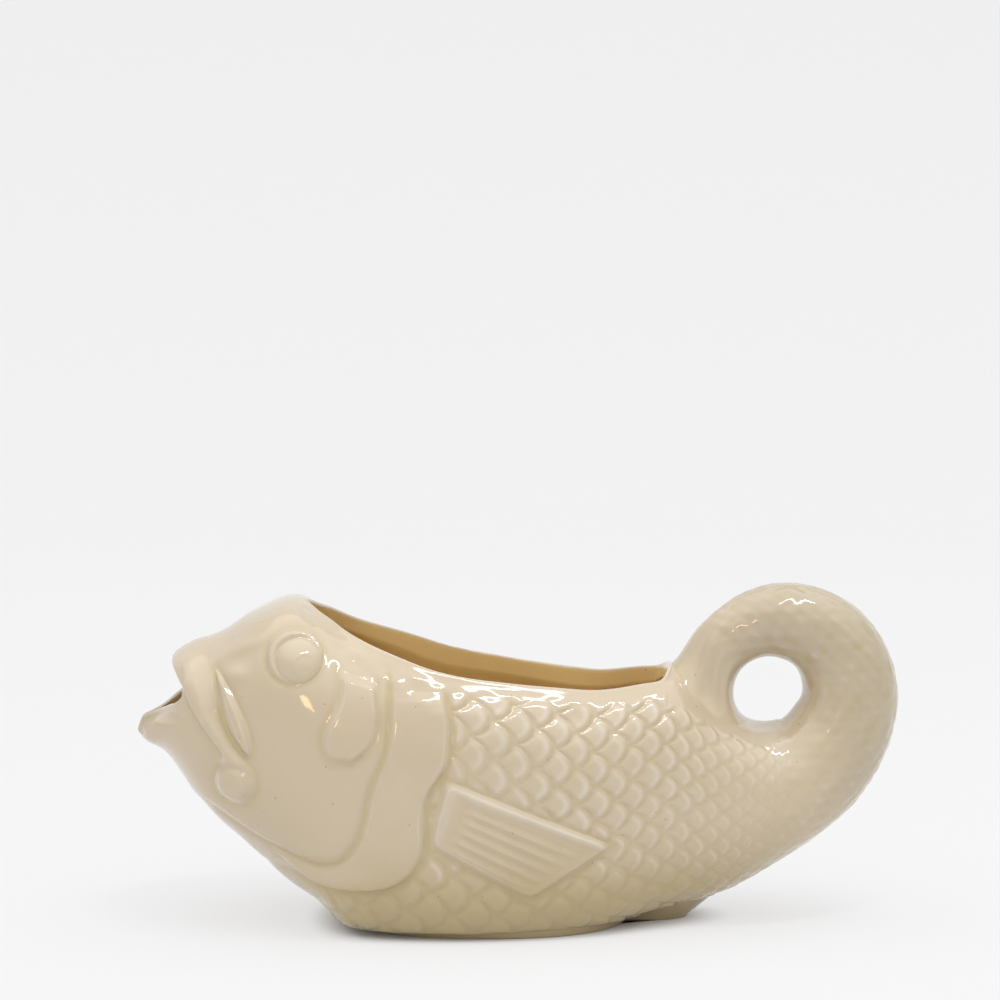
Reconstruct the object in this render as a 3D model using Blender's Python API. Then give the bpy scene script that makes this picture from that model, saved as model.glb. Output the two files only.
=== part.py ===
"""Fish-shaped gravy boat in cream-glazed earthenware.

One skin, lofted through named stations, runs from the open mouth over the body and round the curled tail.
The hollow body and the tail handle are cut from that skin. The lip, eyes, cheeks, gill covers and fins are
raised patches of it, and the foot is trimmed to it. X runs from the jaw to the tail and Z is up, in metres.
"""
import math
from collections import namedtuple

import bmesh
import bpy
import numpy as np

# Walls and joints
WALL = 0.004
SLIP_GAP = 0.0003

# Sections of the body. Each gives its distance behind the last one, how far its top leans towards the
# tail, the heights of the back and belly lines, the half width, and how boxy its lower half is (2 is round).
# The belly is flattened at the foot's height, so its lines may run below that.
Section = namedtuple("Section", "step lean back belly half_width boxiness")
MOUTH = Section(0.0055, 0.0097, 0.0765, 0.0548, 0.0125, 1.6)
LIP = Section(0.0073, 0.0092, 0.0805, 0.0494, 0.0180, 1.8)
SNOUT = Section(0.0096, 0.0075, 0.0840, 0.0348, 0.0240, 2.1)
CHIN = Section(0.0116, 0.0040, 0.0899, 0.0224, 0.0300, 2.4)
BROW = Section(0.0123, 0.0, 0.0935, 0.0098, 0.0345, 2.9)
CHEEK = Section(0.0137, 0.0, 0.0878, 0.0004, 0.0374, 4.0)
GILL = Section(0.0180, 0.0, 0.0859, -0.0022, 0.0385, 5.2)
BELLY = Section(0.0170, 0.0, 0.0815, -0.0028, 0.0384, 5.5)
FLANK = Section(0.0200, 0.0, 0.0759, -0.0022, 0.0362, 5.0)
LOIN = Section(0.0200, 0.0, 0.0726, -0.0002, 0.0320, 3.8)
DECK = Section(0.0170, 0.0, 0.0732, 0.0036, 0.0272, 2.8)
HAUNCH = Section(0.0150, 0.0, 0.0635, 0.0070, 0.0234, 2.3)
BODY = (MOUTH, LIP, SNOUT, CHIN, BROW, CHEEK, GILL, BELLY, FLANK, LOIN, DECK, HAUNCH)
BACK_ROUNDNESS = 2.6

# Sections of the curled tail, at angles round the finger hole from straight below it
Curl = namedtuple("Curl", "angle thickness half_width")
TAIL = (
    Curl(-90, 0.0423, 0.0200),
    Curl(-60, 0.0329, 0.0170),
    Curl(-30, 0.0290, 0.0150),
    Curl(0, 0.0275, 0.0138),
    Curl(45, 0.0243, 0.0122),
    Curl(90, 0.0201, 0.0106),
    Curl(135, 0.0168, 0.0094),
    Curl(170, 0.0177, 0.0100),
    Curl(215, 0.0220, 0.0115),
)
HOLE_RADIUS = 0.0100
HOLE_RISE = 0.0032
HOLE_SETBACK = 0.0151
TAIL_ROUNDNESS = 2.0
TAIL_TENON = 0.002

# Mouth notch: how far the corners are cut back, and where they sit on the section's half height
NOTCH_DEPTH = 0.0084
NOTCH_LEVEL = 0.15
JAW_REACH = 0.70
NOTCH_BLEND = 0.030
NOTCH_ARCH = 1.5

# Opening in the back, from just behind the brow to just behind the deck section
OPENING_SETBACK = 0.0023
OPENING_OVERRUN = 0.0007
OPENING_HALF_WIDTH = 0.0280
OPENING_WIDEST = 0.0394
OPENING_FRONT_FULLNESS = 0.85
OPENING_REAR_TAPER = 0.52
OPENING_TAPER_ROUND = 0.12
OPENING_REAR_BLUNTNESS = 40
CUTTER_HEIGHT = 0.030

# Inside of the bowl: the rounded rear end stops this far behind the haunch section
BOWL_END = 0.0070
SPOUT_OVERRUN = 0.005

# Foot: an oval pad with a narrow heel under the rising tail, hollowed underneath
FOOT_HEIGHT = 0.0015
FOOT_SETBACK = 0.0140
FOOT_LENGTH = 0.0812
FOOT_HALF_WIDTH = 0.0308
FOOT_ROUNDNESS = 2.3
FOOT_RIM = 0.0075
FOOT_TOP = 0.012
FOOT_FLARE = 0.0030
HEEL_LENGTH = 0.0180
HEEL_HALF_WIDTH = 0.0085
HEEL_FLARE = 0.0142
HEEL_BLUNTNESS = 8
HEEL_MERGE = 4

# Upper lip: front and rear edges as (distance along the skin, angle round it), from the snout to the club end
LIP_FRONT = (
    (0.0002, 0), (0.0021, 30), (0.0067, 62), (0.0116, 84), (0.0170, 92.5), (0.0219, 98), (0.0240, 102),
    (0.0222, 107), (0.0214, 112), (0.0226, 118.5), (0.0254, 122.3), (0.0281, 123),
)
LIP_REAR = (
    (0.0125, 0), (0.0132, 31), (0.0160, 52), (0.0200, 73), (0.0224, 83), (0.0250, 90), (0.0290, 96.8),
    (0.0336, 101.3), (0.0358, 108), (0.0352, 114.5), (0.0326, 119.8), (0.0294, 122.9),
)
LIP_HEIGHT = 0.0018

# Outlines on the flanks, as seen from the side: (distance from the jaw tip, height)
LIP_FOLD_FRONT = ((0.0236, 0.0752), (0.0252, 0.0702), (0.0266, 0.0648), (0.0286, 0.0590), (0.0325, 0.0545))
LIP_FOLD_REAR = ((0.0246, 0.0758), (0.0282, 0.0712), (0.0322, 0.0642), (0.0352, 0.0580), (0.0362, 0.0545))
LIP_FOLD_HEIGHT = 0.0013

EYE_CENTRE = (0.0474, 0.0800)
EYE_HALF_LENGTH = 0.0084
EYE_HALF_HEIGHT = 0.0072
EYE_HEIGHT = 0.0026
EYE_RINGS = (0.15, 0.35, 0.50, 0.60, 0.70, 0.80, 0.90, 1.0)
EYE_PROFILE = (1.0, 0.90, 0.70, 0.35, 0.62, 0.74, 0.58, 0.15)

CHEEK_FRONT = ((0.0590, 0.0770), (0.0589, 0.0690), (0.0562, 0.0630), (0.0545, 0.0570), (0.0572, 0.0516))
CHEEK_REAR = ((0.0705, 0.0735), (0.0712, 0.0680), (0.0712, 0.0625), (0.0690, 0.0562), (0.0636, 0.0514))
CHEEK_HEIGHT = 0.0012

GILL_FRONT = (
    (0.0736, 0.0715), (0.0732, 0.0580), (0.0687, 0.0446), (0.0650, 0.0305),
    (0.0575, 0.0228), (0.0470, 0.0243), (0.0348, 0.0300),
)
GILL_REAR = (
    (0.0897, 0.0690), (0.0912, 0.0570), (0.0857, 0.0420), (0.0840, 0.0270),
    (0.0750, 0.0160), (0.0630, 0.0150), (0.0490, 0.0190),
)
GILL_HEIGHT = 0.0012

FIN_TOP_ROOT = (0.0904, 0.0484)
FIN_TIP = (0.1372, 0.0278)
FIN_HEEL = (0.1141, 0.0122)
FIN_LOW_ROOT = (0.0853, 0.0288)
FIN_RIBS = 5
FIN_HEIGHT = 0.0020
FIN_GROOVE = 0.0009
FIN_SCALLOP = 0.0030

# Fineness of the meshes
BODY_RINGS = 30
BODY_SIDES = 40
BOWL_RINGS = 22
BOWL_SIDES = 32
TAIL_RINGS = 28
TAIL_SIDES = 24
OPENING_POINTS = 20
FOOT_POINTS = 44
EYE_POINTS = 20
STRIP_STEPS = 16
SEARCH_STEPS = 12
STEEPEST_RISE = 0.98
LIP_STEPS = 53
FIN_STEPS = 9

CREAM = (0.578, 0.479, 0.342)
PALE_CREAM = (0.651, 0.584, 0.479)
DEEP_CREAM = (0.485, 0.392, 0.266)
GLAZE_ROUGHNESS = 0.15


def natural_spline(knots, values):
    """Return a function of position for the natural cubic spline through one row of values per knot."""
    knots = np.asarray(knots, float)
    values = np.asarray(values, float)
    spans = np.diff(knots)
    system = np.eye(len(knots))
    bends = np.zeros_like(values)
    slopes = np.diff(values, axis=0) / spans[:, None]
    for i in range(1, len(knots) - 1):
        system[i, i - 1:i + 2] = spans[i - 1], 2 * (spans[i - 1] + spans[i]), spans[i]
        bends[i] = 6 * (slopes[i] - slopes[i - 1])
    bends = np.linalg.solve(system, bends)

    def spline(position):
        position = np.asarray(position, float)
        i = np.clip(np.searchsorted(knots, position, side="right") - 1, 0, len(spans) - 1)
        span = spans[i][..., None]
        after = (position - knots[i])[..., None] / span
        before = 1 - after
        curve = (before ** 3 - before) * bends[i] + (after ** 3 - after) * bends[i + 1]
        return before * values[i] + after * values[i + 1] + curve * span ** 2 / 6

    return spline


def smooth_path(points, steps):
    """Sample a spline through the points, with the given number of even steps along it."""
    points = np.asarray(points, float)
    return natural_spline(np.linspace(0, 1, len(points)), points)(np.linspace(0, 1, steps))


SECTION_X = np.cumsum([section.step for section in BODY])
HOLE_CENTRE = np.array([SECTION_X[-1] + HOLE_SETBACK, HAUNCH.back + HOLE_RISE])


def skin_rows():
    """One row per section: back x and z, belly x and z, half width and boxiness."""
    rows = []
    for x, section in zip(SECTION_X, BODY):
        half_lean = section.lean / 2
        rows.append((x + half_lean, section.back, x - half_lean, section.belly,
                     section.half_width, section.boxiness))
    for curl in TAIL:
        outward = np.array([math.cos(math.radians(curl.angle)), math.sin(math.radians(curl.angle))])
        inner = HOLE_CENTRE + HOLE_RADIUS * outward
        outer = HOLE_CENTRE + (HOLE_RADIUS + curl.thickness) * outward
        rows.append((*inner, *outer, curl.half_width, TAIL_ROUNDNESS))
    return np.array(rows)


ROWS = skin_rows()
MIDDLES = (ROWS[:, 0:2] + ROWS[:, 2:4]) / 2
KNOTS = np.concatenate([[0.0], np.cumsum(np.linalg.norm(np.diff(MIDDLES, axis=0), axis=1))])
SKIN_ROW = natural_spline(KNOTS, ROWS)
ROOT = KNOTS[len(BODY)]
TIP = KNOTS[-1]


def section_at(along):
    """Middle, upward direction, half height, half width and boxiness of the section at a distance along."""
    row = SKIN_ROW(np.maximum(along, 0.0))
    upward = (row[..., 0:2] - row[..., 2:4]) / 2
    half_height = np.linalg.norm(upward, axis=-1)
    upward = upward / half_height[..., None]
    forward = np.stack([-upward[..., 1], upward[..., 0]], axis=-1)
    middle = (row[..., 0:2] + row[..., 2:4]) / 2 + forward * np.maximum(-along, 0.0)[..., None]
    return middle, upward, half_height, row[..., 4], row[..., 5]


def place(section, rise, spread, lift, shrink=1.0):
    """Point at a share of a section's half height and half width, lifted off the skin and the flat base."""
    middle, upward, half_height, half_width, _ = section
    centre = middle + upward * ((half_height + lift) * rise * shrink)[..., None]
    height = np.maximum(centre[..., 1], FOOT_HEIGHT - lift)
    return np.stack([centre[..., 0], -(half_width + lift) * spread * shrink, height], axis=-1)


def roundness(rise, boxiness):
    """Exponent of the section's rounded outline: the back's own above the middle, the belly's below it."""
    return np.where(rise > 0, np.minimum(BACK_ROUNDNESS, boxiness), boxiness)


def girth_shares(degrees, boxiness):
    """Shares of half height and half width at an angle from the back line, round towards the left side."""
    rise = np.cos(np.radians(degrees))
    spread = np.sin(np.radians(degrees))
    power = roundness(rise, boxiness)
    size = (np.abs(rise) ** power + np.abs(spread) ** power) ** (1 / power)
    return rise / size, spread / size


def skin(along, degrees, lift=0.0, shrink=1.0):
    """Points of the skin at distances along the fish and angles round it, lifted outwards."""
    along, degrees = np.broadcast_arrays(np.asarray(along, float), np.asarray(degrees, float))
    section = section_at(along)
    rise, spread = girth_shares(degrees, section[4])
    return place(section, rise, spread, np.asarray(lift), np.asarray(shrink))


def along_at(x, z):
    """Distance along the skin of the section that passes through a point of the side view."""
    along = np.interp(x, MIDDLES[:len(BODY) + 1, 0], KNOTS[:len(BODY) + 1])
    for _ in range(SEARCH_STEPS):
        middle, upward, *_ = section_at(along)
        section_x = middle[..., 0] + (z - middle[..., 1]) * upward[..., 0] / upward[..., 1]
        along = along + (x - section_x)
    return along


def beside(points, lift, side):
    """Points of the skin seen at (x, z) from the side; side is 1 for the left flank and -1 for the right."""
    points = np.asarray(points, float)
    along = along_at(points[..., 0], points[..., 1])
    section = section_at(along)
    middle, upward, half_height, _, boxiness = section
    rise = np.sum((points - middle) * upward, axis=-1) / half_height
    rise = np.clip(rise, -STEEPEST_RISE, STEEPEST_RISE)
    power = roundness(rise, boxiness)
    spread = side * (1 - np.abs(rise) ** power) ** (1 / power)
    return place(section, rise, spread, np.asarray(lift))


def new_object(name, bm):
    """Make an object from a bmesh, with its faces turned outwards and shaded smooth."""
    bmesh.ops.recalc_face_normals(bm, faces=bm.faces)
    mesh = bpy.data.meshes.new(name)
    bm.to_mesh(mesh)
    bm.free()
    mesh.shade_smooth()
    mesh.set_sharp_from_angle(angle=math.radians(40))
    item = bpy.data.objects.new(name, mesh)
    bpy.context.scene.collection.objects.link(item)
    return item


def loft(name, rings, closed=False):
    """Skin a row of equal rings into a closed solid, with a fan over each end or joined end to start."""
    bm = bmesh.new()
    rows = [[bm.verts.new(point) for point in ring] for ring in rings]
    pairs = list(zip(rows[:-1], rows[1:]))
    if closed:
        pairs.append((rows[-1], rows[0]))
    sides = len(rows[0])
    for row, following in pairs:
        for i in range(sides):
            j = (i + 1) % sides
            bm.faces.new((row[i], row[j], following[j], following[i]))
    if not closed:
        for row, ring in ((rows[0], rings[0]), (rows[-1], rings[-1])):
            centre = bm.verts.new(np.mean(ring, axis=0))
            for i in range(sides):
                bm.faces.new((row[i], row[(i + 1) % sides], centre))
    return new_object(name, bm)


def glaze(item, colour):
    """Give an object its own cream glaze."""
    material = bpy.data.materials.new(item.name)
    material.use_nodes = True
    shader = material.node_tree.nodes["Principled BSDF"]
    shader.inputs["Base Color"].default_value = (*colour, 1.0)
    shader.inputs["Roughness"].default_value = GLAZE_ROUGHNESS
    shader.inputs["Metallic"].default_value = 0.0
    item.data.materials.append(material)
    return item


def as_cutter(item):
    """Mark an object as a construction body that only cuts others."""
    item.hide_render = True
    item.display_type = "WIRE"
    return item


def cut(item, cutter):
    """Subtract a cutter from an object with a live modifier."""
    modifier = item.modifiers.new(cutter.name, "BOOLEAN")
    modifier.operation = "DIFFERENCE"
    modifier.solver = "EXACT"
    modifier.object = cutter


def notch(degrees):
    """Distance that the mouth's edge is cut back: deepest at the corners, none at the snout and jaw tip."""
    rise, _ = girth_shares(degrees, np.full_like(degrees, MOUTH.boxiness))
    above = 1 - (np.clip(rise - NOTCH_LEVEL, 0, None) / (1 - NOTCH_LEVEL)) ** NOTCH_ARCH
    below = np.clip(1 - (NOTCH_LEVEL - rise) / JAW_REACH, 0, 1)
    return NOTCH_DEPTH * np.where(rise > NOTCH_LEVEL, above, below)


def body_rings(lift, overrun):
    """Rings of the filled body from the notched mouth to the tail's root, past it by the overrun."""
    degrees = np.linspace(0, 360, BODY_SIDES, endpoint=False)
    along = ROOT * np.linspace(0, 1, BODY_RINGS) ** 1.15
    along[-1] += overrun
    fade = np.clip(1 - along / NOTCH_BLEND, 0, 1)
    return skin(along[:, None] + fade[:, None] * notch(degrees), degrees, lift)


def bowl():
    """Construction body of the inside: one wall in from the skin, open at the mouth, round at the rear."""
    degrees = np.linspace(0, 360, BOWL_SIDES, endpoint=False)
    end = KNOTS[len(BODY) - 1]
    straight = np.linspace(0, end, BOWL_RINGS)
    turn = np.radians(np.linspace(15, 80, 5))
    along = np.concatenate([[-SPOUT_OVERRUN], straight, end + BOWL_END * np.sin(turn)])
    shrink = np.concatenate([[1.0], np.ones_like(straight), np.cos(turn)])
    return as_cutter(loft("bowl_cutter", skin(along[:, None], degrees, -WALL, shrink[:, None])))


def opening_outline(count):
    """Half of the leaf-shaped opening in plan: a pointed arch in front of its widest place, a taper behind it."""
    front = SECTION_X[BODY.index(BROW)] + OPENING_SETBACK
    rear = SECTION_X[BODY.index(DECK)] + OPENING_OVERRUN
    widest = front + OPENING_WIDEST
    turn = np.linspace(0, math.pi, count)
    share = -np.cos(turn)
    x = np.where(share < 0, widest + share * (widest - front), widest + share * (rear - widest))
    arch = np.clip(1 - np.minimum(share, 0) ** 2, 0, 1) ** OPENING_FRONT_FULLNESS
    behind = np.maximum(share, 0)
    taper = 1 - OPENING_REAR_TAPER * (np.hypot(behind, OPENING_TAPER_ROUND) - OPENING_TAPER_ROUND)
    taper = taper * np.sqrt(1 - behind ** OPENING_REAR_BLUNTNESS)
    return x, OPENING_HALF_WIDTH * np.where(share < 0, arch, taper)


def opening():
    """Construction body of the opening, with sides square to the wall so that the rim is even."""
    x, half_width = opening_outline(OPENING_POINTS)
    x = np.concatenate([x, x[-2:0:-1]])
    half_width = np.concatenate([half_width, -half_width[-2:0:-1]])
    section = section_at(np.interp(x, MIDDLES[:, 0][:len(BODY) + 1], KNOTS[:len(BODY) + 1]))
    spread = half_width / section[3]
    power = roundness(np.ones_like(x), section[4])
    rise = (1 - np.abs(spread) ** power) ** (1 / power)
    deep = place(section, rise, spread, np.full_like(x, -2 * WALL))
    clear = place(section, rise, spread, np.full_like(x, WALL))
    sky = clear + np.array([0, 0, CUTTER_HEIGHT])
    return as_cutter(loft("opening_cutter", np.stack([deep, clear, sky])))


def body_shell():
    """Hollow body from the jaw to the tail's root, open at the mouth and along the back."""
    shell = loft("body_shell", body_rings(0.0, 0.0))
    cut(shell, bowl())
    cut(shell, opening())
    return glaze(shell, CREAM)


def tail_handle(seat):
    """Curled tail from its joint below the finger hole to its tip, both ends trimmed to seat on the body."""
    degrees = np.linspace(0, 360, TAIL_SIDES, endpoint=False)
    along = np.linspace(ROOT - TAIL_TENON, TIP, TAIL_RINGS)
    tail = loft("tail_handle", skin(along[:, None], degrees))
    cut(tail, seat)
    return glaze(tail, CREAM)


def foot_outline(x, margin, heel_reach):
    """Half width of the foot at x: an oval and a blunt heel, merged by adding powers of them."""
    front = SECTION_X[BODY.index(BROW)] + FOOT_SETBACK
    half_length = FOOT_LENGTH / 2
    share = (x - front - half_length) / (half_length + margin)
    oval = np.clip(1 - np.abs(share) ** FOOT_ROUNDNESS, 0, 1) ** (1 / FOOT_ROUNDNESS)
    heel_share = np.clip((x - front - half_length) / (half_length + heel_reach), 0, 1)
    heel = np.where(heel_reach > 0, np.sqrt(1 - heel_share ** HEEL_BLUNTNESS) * (x > front + half_length), 0)
    oval = oval * (FOOT_HALF_WIDTH + margin)
    heel = heel * (HEEL_HALF_WIDTH + margin)
    return (oval ** HEEL_MERGE + heel ** HEEL_MERGE) ** (1 / HEEL_MERGE)


def foot_loop(z, margin, heel_reach):
    """Closed plan outline of the foot at a height, offset sideways by the margin."""
    front = SECTION_X[BODY.index(BROW)] + FOOT_SETBACK - margin
    rear = SECTION_X[BODY.index(BROW)] + FOOT_SETBACK + FOOT_LENGTH + max(margin, heel_reach)
    turn = np.linspace(0, 2 * math.pi, FOOT_POINTS, endpoint=False)
    x = (front + rear) / 2 - (rear - front) / 2 * np.cos(turn)
    y = foot_outline(x, margin, heel_reach) * np.where(turn <= math.pi, 1, -1)
    return np.stack([x, y, np.full_like(x, z)], axis=-1)


def foot_ring(seat):
    """Foot pad under the belly with a heel behind, open in the middle and trimmed to the body."""
    loops = (
        foot_loop(0.0, 0.0, HEEL_LENGTH),
        foot_loop(FOOT_TOP, FOOT_FLARE, HEEL_LENGTH + HEEL_FLARE),
        foot_loop(FOOT_TOP, -FOOT_RIM, -FOOT_RIM),
        foot_loop(0.0, -FOOT_RIM, -FOOT_RIM),
    )
    ring = loft("foot_ring", np.stack(loops), closed=True)
    cut(ring, seat)
    return glaze(ring, DEEP_CREAM)


def raised(name, places, heights, surface):
    """Raised patch of the skin, as a closed solid over a grid of places.

    The surface function turns places on the skin into points. Heights gives the thickness above the slip
    joint across the patch, from its front edge to its rear one.
    """
    top = surface(places, SLIP_GAP + np.asarray(heights))
    bottom = surface(places, np.full(len(heights), SLIP_GAP))
    return loft(name, np.concatenate([top, bottom[:, ::-1]], axis=1))


def between(front, rear, count, steps=STRIP_STEPS):
    """Grid of places between smooth curves through two lists of edge points."""
    front = smooth_path(front, steps)[:, None]
    rear = smooth_path(rear, steps)[:, None]
    return front + (rear - front) * np.linspace(0, 1, count)[:, None]


def rounded(height, count, least=0.25):
    """Heights across a strip with a rounded top that keeps a share of its height at the edges."""
    across = np.linspace(-1, 1, count)
    return height * (least + (1 - least) * np.sqrt(1 - across ** 2))


def upper_lip():
    """Rolled lip over the snout, carried down both sides to its round club ends."""
    mirror = np.array([1, -1])
    edges = []
    for edge in (LIP_FRONT, LIP_REAR):
        left = np.array(edge)
        right = left[:0:-1] * mirror
        edges.append(np.concatenate([right, left]))
    heights = rounded(LIP_HEIGHT, 7)
    places = between(*edges, len(heights), LIP_STEPS)
    lip = raised("upper_lip", places, heights, lambda place, lift: skin(place[..., 0], place[..., 1], lift))
    return glaze(lip, PALE_CREAM)


def on_flank(name, places, heights, side, colour):
    """Raised patch on one flank, drawn in the side view."""
    return glaze(raised(name, places, heights, lambda place, lift: beside(place, lift, side)), colour)


def lip_fold(name, side):
    """Leaf-shaped fold of skin behind the lip."""
    heights = rounded(LIP_FOLD_HEIGHT, 5)
    return on_flank(name, between(LIP_FOLD_FRONT, LIP_FOLD_REAR, 5), heights, side, PALE_CREAM)


def cheek_plate(name, side):
    """Tongue-shaped plate that hangs from the rim behind the eye."""
    heights = rounded(CHEEK_HEIGHT, 6)
    return on_flank(name, between(CHEEK_FRONT, CHEEK_REAR, 6), heights, side, PALE_CREAM)


def gill_cover(name, side):
    """Curved band from the rim down and forward under the chin, thicker along its free rear edge."""
    heights = GILL_HEIGHT * np.linspace(0.4, 1.0, 5)
    return on_flank(name, between(GILL_FRONT, GILL_REAR, 5), heights, side, CREAM)


def eye(name, side):
    """Domed eye inside a raised lid, built as rings from the pupil out to the lid's edge and back beneath."""
    turn = np.linspace(0, 2 * math.pi, EYE_POINTS, endpoint=False)
    outline = np.stack([EYE_HALF_LENGTH * np.cos(turn), EYE_HALF_HEIGHT * np.sin(turn)], axis=-1)
    rings = []
    for share, profile in zip(EYE_RINGS, EYE_PROFILE):
        lift = SLIP_GAP + EYE_HEIGHT * profile
        rings.append(beside(EYE_CENTRE + outline * share, np.full(len(turn), lift), side))
    for share in EYE_RINGS[::-2]:
        rings.append(beside(EYE_CENTRE + outline * share, np.full(len(turn), SLIP_GAP), side))
    return glaze(loft(name, np.stack(rings)), PALE_CREAM)


def pectoral_fin(name, side):
    """Spread fin whose ribs run from the root to a scalloped trailing edge, under a raised top edge."""
    count = 2 * FIN_RIBS + 1
    across = np.linspace(0, 1, count)[:, None]
    groove = np.arange(count) % 2
    heights = FIN_HEIGHT - FIN_GROOVE * groove
    heights[-1] = FIN_HEIGHT - FIN_GROOVE
    root = np.asarray(FIN_TOP_ROOT) + np.subtract(FIN_LOW_ROOT, FIN_TOP_ROOT) * across
    edge = np.asarray(FIN_TIP) + np.subtract(FIN_HEEL, FIN_TIP) * across
    spine = edge - root
    edge = edge - spine / np.linalg.norm(spine, axis=-1, keepdims=True) * (FIN_SCALLOP * groove)[:, None]
    places = root + (edge - root) * np.linspace(0, 1, FIN_STEPS)[:, None, None]
    return on_flank(name, places, heights, side, CREAM)


def stand():
    """Empty that carries every piece, placed so that the object stands with its middle at the origin."""
    tail_back = skin(np.linspace(ROOT, TIP, 400), np.full(400, 180.0))[:, 0].max()
    jaw_tip = skin(0.0, 180.0)[0]
    empty = bpy.data.objects.new("gravy_boat", None)
    empty.location.x = -(jaw_tip + tail_back) / 2
    bpy.context.scene.collection.objects.link(empty)
    return empty


def main():
    for item in list(bpy.data.objects):
        bpy.data.objects.remove(item, do_unlink=True)
    seat = as_cutter(loft("seat_cutter", body_rings(SLIP_GAP, SLIP_GAP)))
    body_shell()
    tail_handle(seat)
    foot_ring(seat)
    upper_lip()
    for flank, side in (("left", 1), ("right", -1)):
        eye(f"eye_{flank}", side)
        lip_fold(f"lip_fold_{flank}", side)
        cheek_plate(f"cheek_plate_{flank}", side)
        gill_cover(f"gill_cover_{flank}", side)
        pectoral_fin(f"pectoral_fin_{flank}", side)
    empty = stand()
    for item in bpy.data.objects:
        if item is not empty:
            item.parent = empty


main()
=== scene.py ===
"""Fish-shaped gravy boat in cream glaze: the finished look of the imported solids, with its stage and camera.

One skin, the same as the solids', runs from the open mouth over the body and round the curled tail. Every
piece is a grid worked out on that skin. X runs from the jaw to the tail and Z is up, in metres.
"""

import math
from collections import namedtuple

import bmesh
import bpy
import numpy as np
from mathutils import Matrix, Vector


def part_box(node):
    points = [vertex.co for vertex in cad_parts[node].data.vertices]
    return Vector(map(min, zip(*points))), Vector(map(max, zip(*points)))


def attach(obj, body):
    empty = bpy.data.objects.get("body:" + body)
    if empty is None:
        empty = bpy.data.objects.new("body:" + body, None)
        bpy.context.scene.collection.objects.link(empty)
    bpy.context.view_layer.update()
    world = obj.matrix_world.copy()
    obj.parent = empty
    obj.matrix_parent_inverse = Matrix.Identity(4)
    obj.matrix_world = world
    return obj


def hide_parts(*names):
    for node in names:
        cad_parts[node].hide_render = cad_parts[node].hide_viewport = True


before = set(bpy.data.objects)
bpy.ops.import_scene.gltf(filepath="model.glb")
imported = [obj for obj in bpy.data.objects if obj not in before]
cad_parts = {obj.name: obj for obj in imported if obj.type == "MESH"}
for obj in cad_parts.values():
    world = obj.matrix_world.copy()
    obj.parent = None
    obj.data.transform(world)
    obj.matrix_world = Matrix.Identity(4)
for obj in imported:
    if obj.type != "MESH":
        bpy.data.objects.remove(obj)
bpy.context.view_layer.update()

bl_info = {
    "name": "Fish Gravy Boat",
    "version": (1, 0, 0),
    "blender": (4, 5, 0),
    "location": "View3D > Sidebar > Gravy Boat",
    "description": "Builds a cream-glazed fish-shaped gravy boat on its studio stage",
    "category": "Add Mesh",
}

BODY_NAME = "root"
SIDES = (("left", 1), ("right", -1))

# In what follows, a pair of numbers for a fade is the place where it starts from nothing and the width over
# which it grows, which is negative where it grows the other way

# Sections of the body. Each gives its distance behind the last one, how far its top leans towards the
# tail, the heights of the back and belly lines, the half width, and how boxy its lower half is (2 is
# round)
Section = namedtuple("Section", "step lean back belly half_width boxiness")
MOUTH = Section(0.0055, 0.0097, 0.0765, 0.0548, 0.0125, 1.6)
LIP = Section(0.0073, 0.0092, 0.0805, 0.0494, 0.0180, 1.8)
SNOUT = Section(0.0096, 0.0075, 0.0840, 0.0348, 0.0240, 2.1)
CHIN = Section(0.0116, 0.0040, 0.0899, 0.0224, 0.0300, 2.4)
BROW = Section(0.0123, 0.0, 0.0935, 0.0098, 0.0345, 2.9)
CHEEK = Section(0.0137, 0.0, 0.0878, 0.0004, 0.0374, 4.0)
GILL = Section(0.0180, 0.0, 0.0859, -0.0022, 0.0385, 5.2)
BELLY = Section(0.0170, 0.0, 0.0815, -0.0028, 0.0384, 5.5)
FLANK = Section(0.0200, 0.0, 0.0759, -0.0022, 0.0362, 5.0)
LOIN = Section(0.0200, 0.0, 0.0726, -0.0002, 0.0320, 3.8)
DECK = Section(0.0170, 0.0, 0.0732, 0.0036, 0.0272, 2.8)
HAUNCH = Section(0.0150, 0.0, 0.0635, 0.0070, 0.0234, 2.3)
BODY = (MOUTH, LIP, SNOUT, CHIN, BROW, CHEEK, GILL, BELLY, FLANK, LOIN, DECK, HAUNCH)
BACK_ROUNDNESS = 2.6

# Sections of the curled tail, at angles round the finger hole from straight below it
Curl = namedtuple("Curl", "angle thickness half_width")
TAIL = (
    Curl(-90, 0.0423, 0.0200),
    Curl(-60, 0.0329, 0.0170),
    Curl(-30, 0.0290, 0.0150),
    Curl(0, 0.0275, 0.0138),
    Curl(45, 0.0243, 0.0122),
    Curl(90, 0.0201, 0.0106),
    Curl(135, 0.0168, 0.0094),
    Curl(170, 0.0177, 0.0100),
    Curl(215, 0.0220, 0.0115),
)
HOLE_RADIUS = 0.0100
HOLE_RISE = 0.0032
HOLE_SETBACK = 0.0151
TAIL_ROUNDNESS = 2.0

# Mouth notch: how far the corners are cut back, and where they sit on the section's half height
NOTCH_DEPTH = 0.0084
NOTCH_LEVEL = 0.15
JAW_REACH = 0.90
NOTCH_BLEND = 0.030
NOTCH_ARCH = 1.5

# Opening in the back, from just behind the brow to just behind the deck section
OPENING_SETBACK = 0.0023
OPENING_OVERRUN = 0.0018
OPENING_HALF_WIDTH = 0.0280
OPENING_WIDEST = 0.0394
OPENING_FRONT_FULLNESS = 0.85
OPENING_REAR_TAPER = 0.52
OPENING_TAPER_ROUND = 0.12
OPENING_REAR_BLUNTNESS = 40
BOWL_END = 0.0070

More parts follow.
